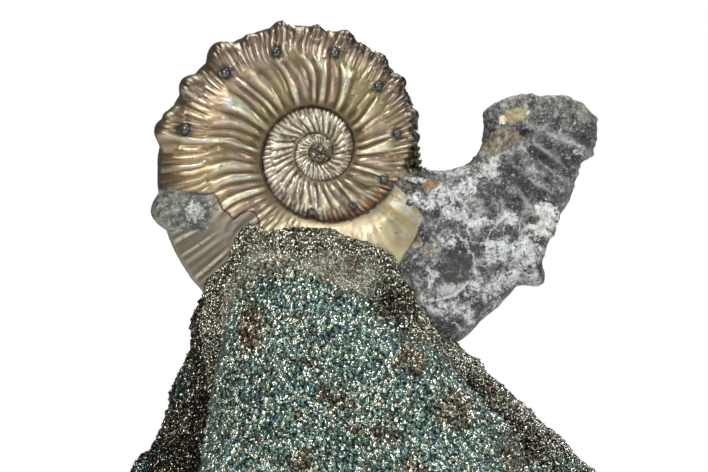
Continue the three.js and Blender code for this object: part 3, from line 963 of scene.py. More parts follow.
class FOSSIL_OT_chamber(bpy.types.Operator):
    """Builds the living chamber of bare grey stone"""

    bl_idname = "fossil.chamber"
    bl_label = "Living chamber"

    steps = 360
    around_steps = 250
    end_rows = 22  # of the steps, these close the broken end
    # Furrows and ridges over the outer part of the front: x, z, half length and half width in millimetres, slant in
    # degrees, and depth, which is negative for a ridge.
    grooves = [
        (21.3, 51.2, 1.9, 0.4, -27, 0.45), (17.9, 48.7, 1.6, 0.42, -31, 0.6),
        (16.8, 45.1, 2.1, 0.42, -35, 0.55), (14.4, 47.3, 1.2, 0.6, -30, 0.35),
        (15.0, 43.4, 1.3, 0.4, -60, 0.35), (20.4, 49.4, 1.5, 0.4, -28, 0.35),
        (19.9, 50.8, 2.9, 0.3, -21, -0.45), (18.2, 49.3, 1.8, 0.26, -38, -0.42),
        (17.0, 46.2, 2.4, 0.3, -33, -0.45), (15.9, 43.9, 1.6, 0.26, -60, -0.4),
        (19.2, 47.0, 1.4, 0.3, -35, -0.3),
    ]
    # How far the outer edge stands out from the even spiral: degrees, and millimetres.
    rim = [
        (300, 0.9), (308, 1.0), (310, 0.85), (312, 0.6), (314, 0.35), (320, 0.33), (322, 0.15), (326, 0),
        (328, 0.15), (330.5, 0.5), (332.5, 0.75), (334, 0.6), (337, 0.3), (340, 0.15), (344, -0.2), (347, 0),
        (350, 0.3), (354, 0.2), (356, 0.3), (358, 0.15), (360, 0.5), (362, 0.4), (364, 0.1), (366, -0.2),
        (370, 0), (372, 0),
    ]
    # Knobs on the outer edge: degrees, height, and size in millimetres.
    knobs = [(330.7, 0.99, 1.35), (344.5, 0.86, 0.6), (357, 0.95, 0.6)]
    # Markings on the front, each a list of patches: x, z, half length and half width in millimetres, slant in degrees,
    # and strength.
    markings = {
        "powder": [
            (7.4, 44.8, 3.4, 2.1, 0, 1.1), (8.3, 42.7, 3.0, 1.6, 0, 1), (5.2, 43.9, 2.0, 1.4, 0, 0.9),
            (11.9, 47.6, 2.6, 1.5, 20, 0.8), (10.0, 46.2, 2.6, 1.8, 0, 0.8), (14.1, 42.2, 1.9, 1.1, -20, 0.9),
            (10.6, 41.8, 2.4, 1.8, 0, 0.75), (12.6, 38.6, 3.0, 2.0, 0, 0.9), (15.6, 38.8, 2.8, 2.2, 20, 0.85),
            (13.7, 36.2, 3.2, 1.7, 15, 0.85), (11.5, 34.6, 2.8, 1.6, 0, 0.8), (8.1, 32.7, 2.4, 0.9, -5, 0.9),
            (9.6, 31.6, 1.7, 1.2, 0, 0.7), (7.0, 39.6, 2.4, 1.8, 0, 0.6), (16.4, 41.2, 1.8, 0.9, 0, 0.9),
            (21.2, 49.9, 1.6, 0.9, -25, 0.6), (6.0, 36.0, 3.0, 2.0, 0, 0.45), (13.2, 33.0, 2.4, 1.2, 40, 0.7),
            (3.9, 46.4, 1.5, 0.45, -5, 1.3), (4.0, 44.4, 1.6, 1.1, 0, 1.0), (9.5, 45.2, 2.0, 1.3, 0, 0.9),
        ],
        "web": [(12.0, 37.0, 9.0, 7.0, 0, 1.5)],
        "shade": [
            (13.9, 47.4, 1.8, 1.5, 0, 0.9), (12.8, 45.0, 2.2, 1.3, 0, 0.9), (12.0, 40.9, 1.9, 1.2, -20, 1.1),
            (13.9, 41.3, 1.0, 0.7, 0, 1.1), (15.0, 40.4, 1.0, 0.7, 0, 1), (9.1, 33.8, 1.5, 0.9, 40, 1),
            (11.7, 32.9, 1.2, 0.7, 20, 0.9), (13.3, 34.6, 1.4, 0.8, 25, 0.9), (17.4, 36.0, 1.5, 1.2, 25, 1.1),
            (6.8, 30.9, 3.0, 2.2, 0, 0.7), (19.2, 52.4, 1.4, 1.1, 0, 0.8), (22.2, 50.9, 1.3, 0.7, -25, 0.9),
            (3.0, 42.2, 1.2, 2.0, -30, 0.5), (16.3, 51.4, 1.8, 1.5, 0, 0.6), (16.3, 54.6, 2.0, 1.2, 0, 0.6),
            (4.9, 47.3, 1.6, 0.5, -15, 1.3), (3.0, 44.8, 0.8, 0.7, 0, 0.7),
        ],
        "lens": [(8.5, 37.0, 2.5, 1.9, 62, 1)],
        "olive": [
            (12.8, 50.5, 2.7, 1.6, 35, 1.1), (14.6, 53.5, 2.4, 1.5, 10, 0.9), (15.0, 51.0, 1.2, 1.2, 0, 0.7),
            (3.9, 39.4, 1.6, 1.6, 0, 0.7), (5.6, 38.6, 1.7, 1.3, 0, 0.7), (2.6, 47.1, 1.8, 1.0, 0, 1),
            (10.4, 48.0, 1.8, 1.1, 30, 0.5),
        ],
        "fire": [(14.6, 53.5, 2.3, 1.2, 8, 1)],
        "spark": [(13.4, 53.0, 0.8, 0.85, 20, 1), (16.1, 53.8, 0.6, 0.5, 0, 0.6)],
        "rust": [(5.4, 45.9, 1.3, 0.85, 15, 1.3), (3.1, 45.7, 1.1, 0.6, 0, 0.9), (14.9, 51.4, 0.7, 0.9, 0, 0.7)],
        "hole": [(15.6, 51.6, 0.9, 0.75, 20, 1)],
        "scar": [(17.9, 42.7, 1.7, 2.1, 20, 1), (17.4, 40.7, 1.5, 0.7, 0, 0.9), (16.5, 41.4, 0.8, 0.6, 0, 0.8)],
    }
    # White veins on the front, in x and z, in millimetres.
    veins = [
        [(9.6, 41.1), (9.4, 40.1), (9.7, 39.0), (10.2, 37.9), (10.4, 36.6), (9.7, 35.5), (9.1, 34.8), (9.4, 33.8)],
        [(9.1, 34.8), (7.6, 33.7), (6.5, 33.5), (5.4, 33.4)],
        [(4.6, 33.8), (5.4, 32.5), (6.3, 32.2)],
        [(5.9, 32.5), (7.2, 32.3), (8.5, 32.3)],
        [(9.6, 41.1), (10.2, 41.8), (11.1, 42.0), (12.6, 41.7), (13.3, 42.0), (14.3, 41.8)],
        [(10.9, 39.5), (12.4, 39.6), (13.7, 39.2), (15.0, 39.6), (16.1, 40.5), (16.9, 40.9)],
        [(12.4, 35.1), (12.5, 34.2), (12.9, 33.5)],
        [(7.6, 31.4), (8.1, 30.9), (8.6, 30.8)],
        [(8.3, 40.5), (8.9, 39.8), (9.4, 39.0)],
        [(15.2, 37.5), (15.9, 37.9), (16.3, 39.0), (15.2, 39.2)],
    ]

    def execute(self, context):
        chamber = tube_from_grid("living_chamber", self.steps, self.around_steps, self.mapping)
        kept_piece(chamber, chamber_finish(), "ammonite")
        return {"FINISHED"}

    def inner(self, turn):
        return np.where(turn < BROKEN_EDGE[0][0], seam_radius(turn), table_value(BROKEN_EDGE, turn))

    def lean(self, turn, height):
        """Follows the ribs under the nacre, and the broken end at the far side."""
        at_end = smoothstep(0.93, 1.02, turn)
        return rib_lean(0.85, height) * (1 - at_end) + table_value(END_LEAN, height) / 360 * at_end

    def surface(self, turn, around):
        inset = 0.16 * (1 - smoothstep(0.9, 0.95, turn))
        return coil_surface(turn, around, self.inner, self.lean, inset)

    def mapping(self, rows, around):
        last = self.steps - self.end_rows
        past = np.maximum(rows - last, 0) / self.end_rows
        turn = CHAMBER_START + (CHAMBER_END - CHAMBER_START) * np.minimum(rows, last) / last
        points, real, height, side = self.surface(turn, around)
        normal = surface_normals(self.surface, turn, around)
        masks = self.masks(points, side)
        relief = self.relief(points, real, height) + self.wear(points, side < 0, masks)
        for degrees, knob_height, size in self.knobs:
            for near in near_spots(points, degrees, knob_height, size * 1.7):
                relief += size * 0.8 * smoothstep(0, 1, near) ** 1.2
        return self.rounded_end(points + normal * relief[:, None], rows, past), masks

    def relief(self, points, real, height):
        """Ribs and unevenness, and the outer edge's own course."""
        relief, _ = rib_relief(real, real - rib_lean(real, height), height)
        relief *= 0.25 + 1.5 * smoothstep(0.38, 0.6, height) * smoothstep(0.95, 0.985, real)
        relief += 0.16 * wavy_noise(points, 1.9, 0.6) + 0.09 * wavy_noise(points, 0.7, 2.0)
        swell = CHAMBER_SWELL * (smoothstep(0.825, 0.85, real) + 0.5 * smoothstep(1.0, 1.02, real))
        edge = (swell + table_value(self.rim, real * 360)) * smoothstep(0.6, 0.95, height)
        return relief * smoothstep(0.86, 0.93, real) + edge

    def wear(self, points, front, masks):
        """Hollows and crusts under the markings, and the furrows and ridges, which become markings of painted shade
        and highlight too.
        """
        wear = 0.2 * smoothstep(0, 0.4, masks["scar"]) * (1 + wavy_noise(points, 0.3)) + 0.1 * masks["powder"]
        wear -= 0.3 * smoothstep(0.1, 0.3, masks["lens"]) + 0.5 * masks["hole"]
        masks["furrow"], masks["ridge"] = np.zeros((2, len(points)))
        for *patch, depth in self.grooves:
            shape = np.exp(-self.reach(points, *patch) ** 2) * front
            wear -= depth * shape
            kind = "furrow" if depth > 0 else "ridge"
            masks[kind] = np.maximum(masks[kind], shape)
        return wear

    def rounded_end(self, points, rows, past):
        """The last rows close the tube as a rough dome."""
        middles = row_middles(points, rows)
        middle = middles[rows]
        first = self.steps - self.end_rows
        growth = middles[first] - middles[first - 6]
        growth /= np.linalg.norm(growth)
        bulge = 1.1 * np.sin(past * math.pi / 2)
        bulge += 0.22 * wavy_noise(points, 1.1, 3.0) * np.sin(past * math.pi)
        share = np.sqrt(np.clip(1 - past**2, 0, 1)) * (rows > 0)
        return middle + (points - middle) * share[:, None] + growth * bulge[:, None]

    def reach(self, points, x, z, length, width, slant):
        """How far points lie from a patch's middle, with 1 at its rim."""
        right, up = points[:, 0] - x, points[:, 2] - z
        cos, sin = math.cos(math.radians(slant)), math.sin(math.radians(slant))
        return np.hypot((right * cos + up * sin) / length, (up * cos - right * sin) / width)

    def masks(self, points, side):
        """How strong each marking is, with fainter twins on the back."""
        front = side < 0
        masks = {}
        for name, patches in self.markings.items():
            strongest = np.zeros(len(points))
            for *patch, strength in patches:
                strongest = np.maximum(strongest, strength * np.clip(1 - self.reach(points, *patch), 0, 1))
            back = 0.7 if name in ("powder", "shade", "web", "olive") else 0
            masks[name] = strongest * np.where(front, 1, back)
        bent = points + 0.2 * wavy_noise(points, 0.5, 5.0)[:, None]
        pairs = [pair for vein in self.veins for pair in zip(vein, vein[1:])]
        nearest = np.min([segment_distance(bent, *pair) for pair in pairs], axis=0)
        masks["vein"] = np.clip(1 - nearest / 0.3, 0, 1) * front
        masks["end"] = np.clip((points[:, 2] - 50.5) / 4, 0, 1)
        return masks


# Seen from the front, in the plane of the shell's middle: the near lump, and the crust over the shell. x and z in
# millimetres.
LUMP = [
    (-15.6, 34.2), (-14.6, 37.0), (-12.5, 37.9), (-9.5, 37.6), (-5.8, 35.2), (-0.6, 32.9), (0.4, 31.9),
    (2.9, 29.7), (5.9, 27.7), (7.9, 26.2), (9.8, 23.4), (12.3, 21.3), (14.6, 18.7), (17.4, 15.7), (19.4, 13),
    (22, 0), (-22, 0), (-19.6, 14.0), (-19.3, 17.8), (-18.6, 22.4), (-17.6, 27.0), (-16.9, 31.0),
]
CRUST = [
    (-18.9, 31.0), (-18.9, 35.1), (-18.1, 36.0), (-16.7, 37.4), (-15.6, 39.8), (-14.8, 41.1), (-13.7, 41.6),
    (-12.1, 40.3), (-9.9, 39.8), (-8.8, 39.6), (-5.5, 40.1), (-3.1, 40.2), (-1.3, 39.6), (0.2, 38.7),
    (1.3, 37.6), (1.9, 36.4), (2.2, 35.5), (3.1, 34.6), (3.9, 32.8), (4.4, 31.9), (5.7, 30.2), (6.6, 29.1),
    (8.4, 28.2), (8.4, 24.0), (-18.0, 24.0),
]


def as_seen(points):
    """Points carried along the camera's rays onto the plane of the shell's middle."""
    stage = bpy.context.scene.fossil_stage
    aim = np.array(stage.aim) / MM
    distance = stage.frame_width / MM * stage.lens / SENSOR_WIDTH
    share = distance / (distance + points[:, 1:2] - aim[1])
    return aim + (points - aim) * share


class FOSSIL_OT_grit(bpy.types.Operator):
    """Builds the dark pyrite grit on the coil's right rim and in the corner below it"""

    bl_idname = "fossil.grit"
    bl_label = "Grit"

    rim_grains = 150
    rim_from, rim_to = -14, 66  # growth angles in degrees
    rim_seed = 11
    clot_reach = 2.6  # from a clot's middle to its front, in millimetres
    # Clots in the corner between the coil and the living chamber: x, z and radius, in millimetres.
    clots = [
        (4.05, 49.9, 0.35), (4.05, 49.2, 0.42), (4.1, 48.5, 0.5), (3.4, 48.3, 0.5), (4.2, 47.8, 0.5),
        (5.0, 47.45, 0.35), (3.3, 47.4, 0.7), (4.3, 47.0, 0.5), (5.8, 47.15, 0.3),
    ]

    def execute(self, context):
        middle = coil_centre()[1]
        made = []
        for x, z, radius in self.clots:
            made.append(ball(radius, Vector((x, middle, z)) * MM, 4, (1, self.clot_reach / radius, 1)))
        for i, (*place, radius) in enumerate(self.rim_places()):
            made.append(ball(radius, Vector(place) * MM, 1, turn=(i, 2 * i, 3 * i)))
        grit = joined("rim_grit", made)
        points = get_points(grit.data).astype(float) / MM
        points += 0.07 * np.stack([wavy_noise(points, 0.3, phase) for phase in (1.0, 3.0, 5.0)], -1)
        set_points(grit.data, points)
        grit.data.update()
        kept_piece(grit, gritty_finish("dark_grit"), "ammonite")
        return {"FINISHED"}

    def rim_places(self):
        """Places and radii of the grains on the coil's rim, in millimetres."""
        random = np.random.default_rng(self.rim_seed)
        for degrees in np.sort(random.uniform(self.rim_from, self.rim_to, self.rim_grains)):
            height = 0.99 - 0.13 * random.random() ** 1.5
            spot, normal = shell_spot(degrees, height, -1 if random.random() < 0.7 else 1)
            yield (*(spot - normal * 0.02), random.uniform(0.05, 0.13))


class FOSSIL_OT_rock(bpy.types.Operator):
    """Builds the rock under the crystals from lofted levels, welded and roughened"""

    bl_idname = "fossil.rock"
    bl_label = "Rock"

    lump_grain, knob_grain = 0.0042, 0.0014  # sizes of the roughening, in metres
    squareness = 0.72  # 1 makes a level an oval, and less makes it squarer
    # The crust over the shell's front: its face, its thickness and its rounding, in millimetres.
    crust_front, crust_depth, crust_rounding = -1.3, 3.2, 0.7
    flat_cut = 0.05  # height of the cut, in millimetres
    # Levels: height, left, right, front and back, in millimetres.
    back_levels = [
        (0, -25.4, 26.0, -7.4, 15.0), (3, -27.0, 27.2, -8, 15.8), (9, -27.8, 27.2, -8, 16.2),
        (14.3, -26.2, 23.8, -7, 15.6), (17.3, -24.7, 20.5, -6.6, 15.2), (20, -23.9, 17.6, -6.2, 14.8),
        (23.9, -23.0, 13.2, -5.4, 14.0), (26.6, -21.1, 10.2, -5, 13.2), (28.5, -20.9, 8.4, -4.4, 12.8),
        (31.2, -21.0, 5.1, -4, 12.2), (34.5, -19.0, 2.4, -3, 11.6), (37.5, -16.4, 0.4, -2, 10.8),
        (39.6, -15.0, -1.8, -1.2, 10.0), (40.8, -14.4, -3.8, -0.6, 9.4),
    ]
    front_levels = [
        (0, -19.6, 19.8, -15, 4), (3, -20.0, 20.6, -16.0, 4), (9, -19.6, 19.4, -16.1, 4),
        (14.3, -19.2, 16.8, -15.3, 4), (17.7, -19.0, 15.0, -14.4, 4), (20.9, -18.7, 12.2, -13.2, 4),
        (23.9, -18.2, 9.7, -11.8, 4), (25.5, -18.0, 8.3, -11, 4), (28, -17.5, 5.6, -9.6, 3),
        (29.4, -17.2, 2.8, -8.8, 3), (32.9, -16.5, -0.7, -6.4, 2.4), (36, -15.9, -5.7, -4.3, 1.6),
        (37.8, -14.6, -9.0, -2.8, 0.8),
    ]

    def execute(self, context):
        parts = [
            self.loft("back_mass", self.back_levels), self.loft("front_lump", self.front_levels), self.crust(),
            ball(4.2, Vector((-23.4, 1, 12.9)) * MM, 3, (0.95, 1.05, 1.1)),  # swells the left side
        ]
        activate(*parts)
        bpy.ops.object.join()
        rock = bpy.context.object
        rock.name = rock.data.name = "rock"
        bpy.ops.object.transform_apply(location=True, rotation=True, scale=True)
        settings = rock_settings()
        self.finish_with(rock, "REMESH", mode="VOXEL", voxel_size=settings.voxel)
        self.finish_with(rock, "SMOOTH", factor=0.8, iterations=6)
        self.roughen(rock, "lumps", self.lump_grain, settings.lumps, 2)
        self.roughen(rock, "knobs", self.knob_grain, settings.knobs, 3)
        self.cut_flat(rock)
        activate(rock)
        bpy.ops.object.shade_smooth()
        kept_piece(rock, bedrock_finish(), "pyrite_matrix")
        return {"FINISHED"}

    def finish_with(self, obj, kind, **settings):
        modifier = obj.modifiers.new(kind.lower(), kind)
        for name, given in settings.items():
            setattr(modifier, name, given)
        activate(obj)
        bpy.ops.object.modifier_apply(modifier=modifier.name)

    def roughen(self, obj, name, scale, height, depth):
        texture = bpy.data.textures.new(name, "CLOUDS")
        texture.noise_scale = scale
        texture.noise_depth = depth
        self.finish_with(
            obj, "DISPLACE", texture=texture, texture_coords="LOCAL", strength=2.2 * height, mid_level=0.5
        )

    def loft(self, name, levels):
        """A rounded column: one ring, extruded and resized level by level."""
        add = bpy.ops.mesh.primitive_circle_add
        column = added(add, name, vertices=40, radius=1, fill_type="NGON", location=(0, 0, 0))
        bpy.ops.object.mode_set(mode="EDIT")
        bpy.ops.mesh.select_all(action="SELECT")
        self.fit_ring(column, levels[0])
        for level in levels[1:]:
            bpy.ops.mesh.extrude_region_move()
            self.fit_ring(column, level)
        bpy.ops.mesh.select_all(action="SELECT")
        bpy.ops.mesh.normals_make_consistent(inside=False)
        bpy.ops.object.mode_set(mode="OBJECT")
        return column

    def fit_ring(self, column, level):
        """Moves the selected ring onto a level, squarer than an oval."""
        z, left, right, front, back = level
        left, right = left + CRYSTAL_DEPTH, right - CRYSTAL_DEPTH
        ring = [v for v in bmesh.from_edit_mesh(column.data).verts if v.select]
        turned = sorted(ring, key=lambda v: v.index)
        for i, vertex in enumerate(turned):
            angle = 2 * math.pi * i / len(turned)
            c, s = (math.copysign(abs(w) ** self.squareness, w) for w in (math.cos(angle), math.sin(angle)))
            x = (left + right) / 2 + (right - left) / 2 * c
            y = (front + back) / 2 + (back - front) / 2 * s
            vertex.co = Vector((x, y, z)) * MM
        bmesh.update_edit_mesh(column.data)

    def crust(self):
        """The sheet of crystals that climbs over the front of the shell."""
        mesh = bpy.data.meshes.new("crust")
        edge = bmesh.new()
        corners = [edge.verts.new(Vector((x, self.crust_front, z)) * MM) for x, z in CRUST]
        edge.faces.new(corners)
        edge.to_mesh(mesh)
        edge.free()
        crust = bpy.data.objects.new("crust", mesh)
        bpy.context.scene.collection.objects.link(crust)
        thicken = {"value": (0, self.crust_depth * MM, 0)}
        edit_all(crust, partial(bpy.ops.mesh.extrude_region_move, TRANSFORM_OT_translate=thicken))
        self.finish_with(crust, "BEVEL", width=self.crust_rounding * MM, segments=3, limit_method="ANGLE")
        return crust

    def cut_flat(self, rock):
        activate(rock)
        bpy.ops.object.mode_set(mode="EDIT")
        bpy.ops.mesh.select_all(action="SELECT")
        bpy.ops.mesh.bisect(
            plane_co=(0, 0, self.flat_cut * MM), plane_no=(0, 0, -1), use_fill=True, clear_outer=True,
            clear_inner=False,
        )
        bpy.ops.object.mode_set(mode="OBJECT")


CUBE = (
    [(i, j, k) for k in (-0.5, 0.5) for j in (-0.5, 0.5) for i in (-0.5, 0.5)],
    [(0, 2, 3, 1), (4, 5, 7, 6), (0, 1, 5, 4), (2, 6, 7, 3), (0, 4, 6, 2), (1, 3, 7, 5)],
)
OCTAHEDRON = (
    [(0.75, 0, 0), (-0.75, 0, 0), (0, 0.75, 0), (0, -0.75, 0), (0, 0, 0.75), (0, 0, -0.75)],
    [(0, 2, 4), (2, 1, 4), (1, 3, 4), (3, 0, 4), (2, 0, 5), (1, 2, 5), (3, 1, 5), (0, 3, 5)],
)


class FOSSIL_OT_crystals(bpy.types.Operator):
    """Crusts the rock with pyrite crystals, a few large meshes of many small solids"""

    bl_idname = "fossil.crystals"
    bl_label = "Crystals"

    spread_cell = 0.9  # the cells that are filled one after another, so that the crystals spread evenly
    rear_from = 6  # millimetres behind the front plane
    lowest = 0.02  # how far above the floor the crystals end, in millimetres
    # Tarnish: 0 is russet, 0.36 brass, 0.7 teal and 1 slate blue.
    lump_hue, crust_hue, left_hue, cap_hue, rear_hue = 0.62, 0.37, 0.27, 0.4, 0.45
    # Bluer patches at the sides: how much, how far each axis counts, place and radius in millimetres.
    blue_spots = [
        (0.45, (1, 0.3, 0.6), (-22.5, 0, 15), 3.2), (0.6, (1, 0.3, 1), (-25.6, 0, 15.6), 3.2),
        (0.5, (1, 0.3, 1), (20.5, 0, 16.5), 3.4),
    ]
    # The russet streak and blotches on the near lump, and the painted shade where it meets the crust: place and
    # radius.
    streak = ((-14.2, 0, 15.1), 1.9)
    russet_spots = [((8.3, 0, 20.8), 3), ((15.3, 0, 16.6), 2.6)]
    recess_shade_spots = [((0.6, 0, 33.4), 2.8), ((2.2, 0, 31.6), 2.4)]

    def execute(self, context):
        settings = rock_settings()
        random = np.random.default_rng(settings.seed)
        finish = crystal_finish()
        corners, normals, areas = self.triangles(bpy.data.objects["rock"])
        middles = corners.mean(axis=1)
        order = np.lexsort(np.floor(middles / self.spread_cell).T)
        for name, (share, kind, side, count) in self.regions(middles, normals, areas).items():
            filled = np.cumsum(areas[order] * share[order])
            steps = (np.arange(count) + random.random(count)) / count
            chosen = order[np.minimum(np.searchsorted(filled, steps * filled[-1]), len(order) - 1)]
            piece = self.crystals(name, corners[chosen], normals[chosen], kind, side, random)
            if kind is CUBE:
                activate(piece)
                bpy.ops.object.shade_smooth()
            kept_piece(piece, finish, "pyrite_matrix")
        return {"FINISHED"}

    def triangles(self, rock):
        """The corners, normals and areas of a mesh's triangles, in millimetres."""
        mesh = rock.data
        mesh.calc_loop_triangles()
        corners = np.empty(len(mesh.loop_triangles) * 3, np.int32)
        mesh.loop_triangles.foreach_get("vertices", corners)
        points = get_points(mesh)[corners].reshape(-1, 3, 3) / MM
        cross = np.cross(points[:, 1] - points[:, 0], points[:, 2] - points[:, 0])
        length = np.maximum(np.linalg.norm(cross, axis=1), 1e-12)
        return points, cross / length[:, None], length / 2

    def regions(self, middles, normals, areas):
        """Which crystals grow where: the share of each triangle, the kind, the side in millimetres, the number."""
        x, y, z = middles.T
        settings = rock_settings()
        coarse, fine = settings.coarse_size / MM, settings.fine_size / MM
        open_face = (z > 0.3) & (normals[:, 2] > -0.9)
        lump = open_face & (y < -1.5) & (inside_depth(as_seen(middles), LUMP) > 0)
        rear = open_face & (y > self.rear_from) & ~lump
        crust = open_face & ~lump & ~rear & (inside_depth(as_seen(middles), CRUST) > -1) & (y < 2.5)
        rest = open_face & ~lump & ~rear & ~crust
        many, some = settings.fine_count, settings.coarse_count
        rest = rest * np.where(normals[:, 1] < -0.1, 1, 0.4)
        low_first = np.argsort(z)
        covered = np.cumsum((areas * lump)[low_first])
        split = z[low_first][np.searchsorted(covered, covered[-1] / 2)]
        return {
            "crust_crystals": (crust, OCTAHEDRON, fine * 0.84, many),
            "upper_lump_crystals": (lump & (z > split), CUBE, coarse, some),
            "lower_lump_crystals": (lump & (z <= split), CUBE, coarse, some),
            "left_crystals": (rest * (x < -2), OCTAHEDRON, fine * 0.96, many),
            "right_crystals": (rest * (x >= -2), OCTAHEDRON, fine * 0.96, many),
            "rear_crystals": (rear, OCTAHEDRON, coarse * 1.3, some * 4 // 5),
        }

    def crystals(self, name, corners, normals, kind, side, random):
        count = len(corners)
        u, v = random.random((2, count, 1))
        flip = u + v > 1
        u, v = np.where(flip, 1 - u, u), np.where(flip, 1 - v, v)
        seats = corners[:, 0] + u * (corners[:, 1] - corners[:, 0]) + v * (corners[:, 2] - corners[:, 0])
        sizes = side * (0.6 + 0.8 * random.random(count) ** 1.8)
        seats += normals * (sizes * random.uniform(-0.1, 0.3, count))[:, None]
        turns = self.random_turns(count, random)
        shape, faces = np.array(kind[0], float), np.array(kind[1])
        stretch = random.uniform(0.78, 1.12, (count, 1, 3))
        points = np.einsum("nij,nkj->nki", turns, shape[None] * stretch) * sizes[:, None, None] + seats[:, None]
        points[..., 2] = np.maximum(points[..., 2], self.lowest)
        all_faces = (faces[None] + len(shape) * np.arange(count)[:, None, None]).reshape(-1, faces.shape[1])
        mesh = bpy.data.meshes.new(name)
        mesh.vertices.add(count * len(shape))
        set_points(mesh, points)
        mesh.loops.add(all_faces.size)
        mesh.loops.foreach_set("vertex_index", all_faces.astype(np.int32).ravel())
        mesh.polygons.add(len(all_faces))
        starts = np.arange(0, all_faces.size, faces.shape[1], dtype=np.int32)
        mesh.polygons.foreach_set("loop_start", starts)
        mesh.update(calc_edges=True)
        for attribute, values in self.tones(seats, random).items():
            set_attribute(mesh, attribute, np.repeat(values, len(shape)))
        piece = bpy.data.objects.new(name, mesh)
        bpy.context.scene.collection.objects.link(piece)
        return piece

    def random_turns(self, count, random):
        """Rotation matrices drawn evenly, from unit quaternions."""
        q = random.normal(size=(count, 4))
        q /= np.linalg.norm(q, axis=1, keepdims=True)
        w, x, y, z = q.T
        rows = [
            1 - 2 * (y * y + z * z), 2 * (x * y - z * w), 2 * (x * z + y * w),
            2 * (x * y + z * w), 1 - 2 * (x * x + z * z), 2 * (y * z - x * w),
            2 * (x * z - y * w), 2 * (y * z + x * w), 1 - 2 * (x * x + y * y),
        ]
        return np.stack(rows, -1).reshape(-1, 3, 3)

    def tones(self, seats, random):
        """Each crystal's tarnish, its lightness, and how dusty it is."""
        x, y = seats[:, 0], seats[:, 1]
        seen = as_seen(seats)
        front = y < -1
        lump = np.where(front, inside_depth(seen + 0.35 * wavy_noise(seats, 1.2, 6.0)[:, None], LUMP), -9)
        on_lump = lump > 0
        crust = np.where(y < 2.5, inside_depth(seen, CRUST), -9)
        inner_crust = smoothstep(0.3, 3.0, crust) * (1 - smoothstep(-4, -1, seen[:, 0] - 4))
        height = seen[:, 2] + 0.4 * wavy_noise(seats, 1.5, 3.0)
        cap = smoothstep(33, 35.5, height) * smoothstep(-12, -15, seen[:, 0])
        cap = np.maximum(smoothstep(34.8, 36.2, height), cap) * on_lump
        streak = nearness(seen * [1, 0, 0.5], *self.streak) * front
        blotch = smoothstep(0.5, 0.9, wavy_noise(seats, 5.0, 2.4))
        for spot in self.russet_spots:
            blotch = np.maximum(blotch, smoothstep(0, 0.5, nearness(seen * [1, 0, 1], *spot)) * front)
        # Painted shade: fewer light crystals, and less dust, where the lump meets the crust.
        recess_shade = np.maximum(*(nearness(seen * [1, 0, 1], *spot) for spot in self.recess_shade_spots))

        hue = np.where(on_lump, self.lump_hue, np.where((crust > -1) | (x > -2), self.crust_hue, self.left_hue))
        hue = hue + 0.08 * wavy_noise(seats, 5.0, 0.4) * on_lump
        hue += (self.cap_hue - hue) * cap
        for gain, stretch, *spot in self.blue_spots:
            hue += gain * nearness(seats * stretch, *spot)
        hue = np.where(y > 4, self.rear_hue + 0.3 * wavy_noise(seats, 7.0, 1.4), hue)
        hue *= 1 - np.clip(1.2 * streak + 0.5 * blotch, 0, 0.8) * (1 - cap)
        hue = np.clip(hue + np.where(on_lump, 0.14, 0.09) * random.normal(size=len(seats)), 0, 1)

        # The higher the power, the fewer crystals are light.
        # Painted shade: crystals just outside the near lump's outline are darker, where it stands before the bands.
        bands = np.where(x < -2, 3.5, 1.3) + 1.6 * smoothstep(-3.5, 0, lump)
        power = np.where(on_lump, 1.0 + 0.048 * (seen[:, 2] - 15), np.where(crust > -1, 1.0, bands))
        power += 1.2 * streak + 0.6 * blotch + 2.5 * recess_shade - 0.5 * inner_crust
        light = random.random(len(seats)) ** power
        dust = np.where(on_lump, 0.36 + 0.3 * smoothstep(1.5, 0, lump) * (x < -12), 0.8 * inner_crust)
        dust = np.clip(np.maximum(dust, 0.75 * cap) - recess_shade, 0, 1)
        return {"tarnish": hue, "grain": light, "dust": dust}


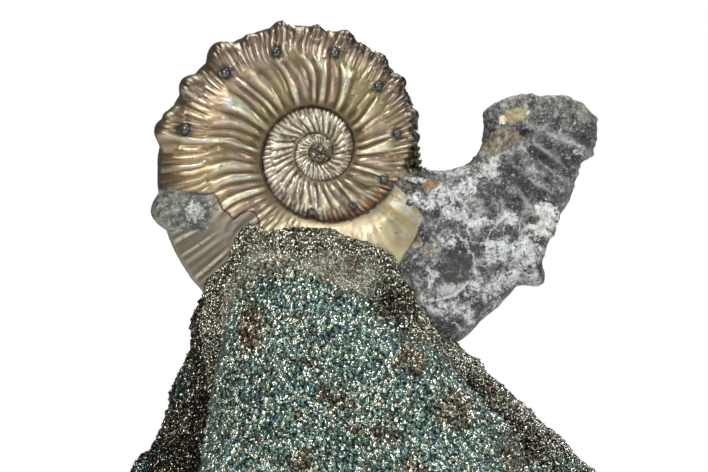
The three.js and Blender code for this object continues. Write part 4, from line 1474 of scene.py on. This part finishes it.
class FOSSIL_OT_stage(bpy.types.Operator):
    """Sets the pale floor, the white surroundings, the soft lamps and the camera"""

    bl_idname = "fossil.stage"
    bl_label = "Stage"

    floor_thickness = 2  # in millimetres
    # Soft lamps: name, place in metres, width in metres, power in watts.
    lamps = [
        ("key_lamp", (-0.20, -0.30, 0.30), 0.14, 1.5),
        ("right_lamp", (0.30, -0.24, 0.16), 0.12, 0.7),
        ("top_lamp", (0.03, 0.04, 0.38), 0.18, 1.1),
        ("low_lamp", (-0.05, -0.40, -0.02), 0.10, 0.35),
        ("rear_lamp", (0.12, 0.36, 0.22), 0.18, 1.0),
    ]

    def execute(self, context):
        self.floor()
        self.surroundings()
        for lamp in self.lamps:
            self.lamp(*lamp)
        self.camera()
        context.scene.view_settings.view_transform = "Standard"
        return {"FINISHED"}

    def floor(self):
        radius = bpy.context.scene.fossil_stage.floor_radius
        add = bpy.ops.mesh.primitive_circle_add
        floor = added(add, "floor", vertices=96, radius=radius, fill_type="NGON", location=(0, 0, 0))
        down = {"value": (0, 0, -self.floor_thickness * MM)}
        edit_all(floor, partial(bpy.ops.mesh.extrude_region_move, TRANSFORM_OT_translate=down))
        floor.data.materials.append(floor_finish())

    def surroundings(self):
        """White to the camera and dimmer to the object, so that facets turned away from the lamps stay dark."""
        world = bpy.data.worlds.new("studio")
        bpy.context.scene.world = world
        world.use_nodes = True
        nodes, links = world.node_tree.nodes, world.node_tree.links
        background = nodes["Background"]
        background.inputs["Color"].default_value = (1, 1, 1, 1)
        rays = nodes.new("ShaderNodeLightPath")
        strength = nodes.new("ShaderNodeMapRange")
        strength.inputs["To Min"].default_value = bpy.context.scene.fossil_stage.ambient
        strength.inputs["To Max"].default_value = 1.0
        links.new(rays.outputs["Is Camera Ray"], strength.inputs["Value"])
        links.new(strength.outputs[0], background.inputs["Strength"])

    def lamp(self, name, place, width, power):
        lamp = added(bpy.ops.object.light_add, name, type="AREA", location=place)
        lamp.data.size = width
        lamp.data.energy = power
        aim = Vector(bpy.context.scene.fossil_stage.aim)
        lamp.rotation_euler = (aim - Vector(place)).to_track_quat("-Z", "Y").to_euler()
        lamp.visible_camera = False

    def camera(self):
        stage = bpy.context.scene.fossil_stage
        bpy.ops.object.camera_add()
        camera = bpy.context.object
        camera.name = "camera"
        camera.data.lens = stage.lens
        camera.data.sensor_width = SENSOR_WIDTH
        distance = stage.frame_width * stage.lens / SENSOR_WIDTH
        camera.location = Vector(stage.aim) - Vector((0, distance, 0))
        camera.rotation_euler = (math.pi / 2, 0, 0)
        camera.data.clip_start = 0.01
        bpy.context.scene.camera = camera


class FOSSIL_PT_panel(bpy.types.Panel):
    """Lists the fossil's pieces and settings"""

    bl_idname = "FOSSIL_PT_panel"
    bl_label = "Pyritized ammonite"
    bl_space_type = "VIEW_3D"
    bl_region_type = "UI"
    bl_category = "Ammonite"

    def draw(self, context):
        for settings in (context.scene.fossil_shell, context.scene.fossil_rock, context.scene.fossil_stage):
            box = self.layout.box()
            for name in settings.__annotations__:
                box.prop(settings, name)
        for operator in OPERATORS:
            self.layout.operator(operator.bl_idname)


OPERATORS = [
    FOSSIL_OT_stage, FOSSIL_OT_coil, FOSSIL_OT_chamber, FOSSIL_OT_grit, FOSSIL_OT_rock, FOSSIL_OT_crystals,
]
CLASSES = [ShellSettings, RockSettings, StageSettings, *OPERATORS, FOSSIL_PT_panel]


def register():
    for each in CLASSES:
        bpy.utils.register_class(each)
    bpy.types.Scene.fossil_shell = PointerProperty(type=ShellSettings)
    bpy.types.Scene.fossil_rock = PointerProperty(type=RockSettings)
    bpy.types.Scene.fossil_stage = PointerProperty(type=StageSettings)


def unregister():
    del bpy.types.Scene.fossil_shell, bpy.types.Scene.fossil_rock, bpy.types.Scene.fossil_stage
    for each in reversed(CLASSES):
        bpy.utils.unregister_class(each)


def main():
    register()
    bpy.ops.fossil.stage()
    bpy.ops.fossil.coil()
    bpy.ops.fossil.chamber()
    bpy.ops.fossil.grit()
    bpy.ops.fossil.rock()
    bpy.ops.fossil.crystals()
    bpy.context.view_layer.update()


if __name__ == "__main__":
    main()
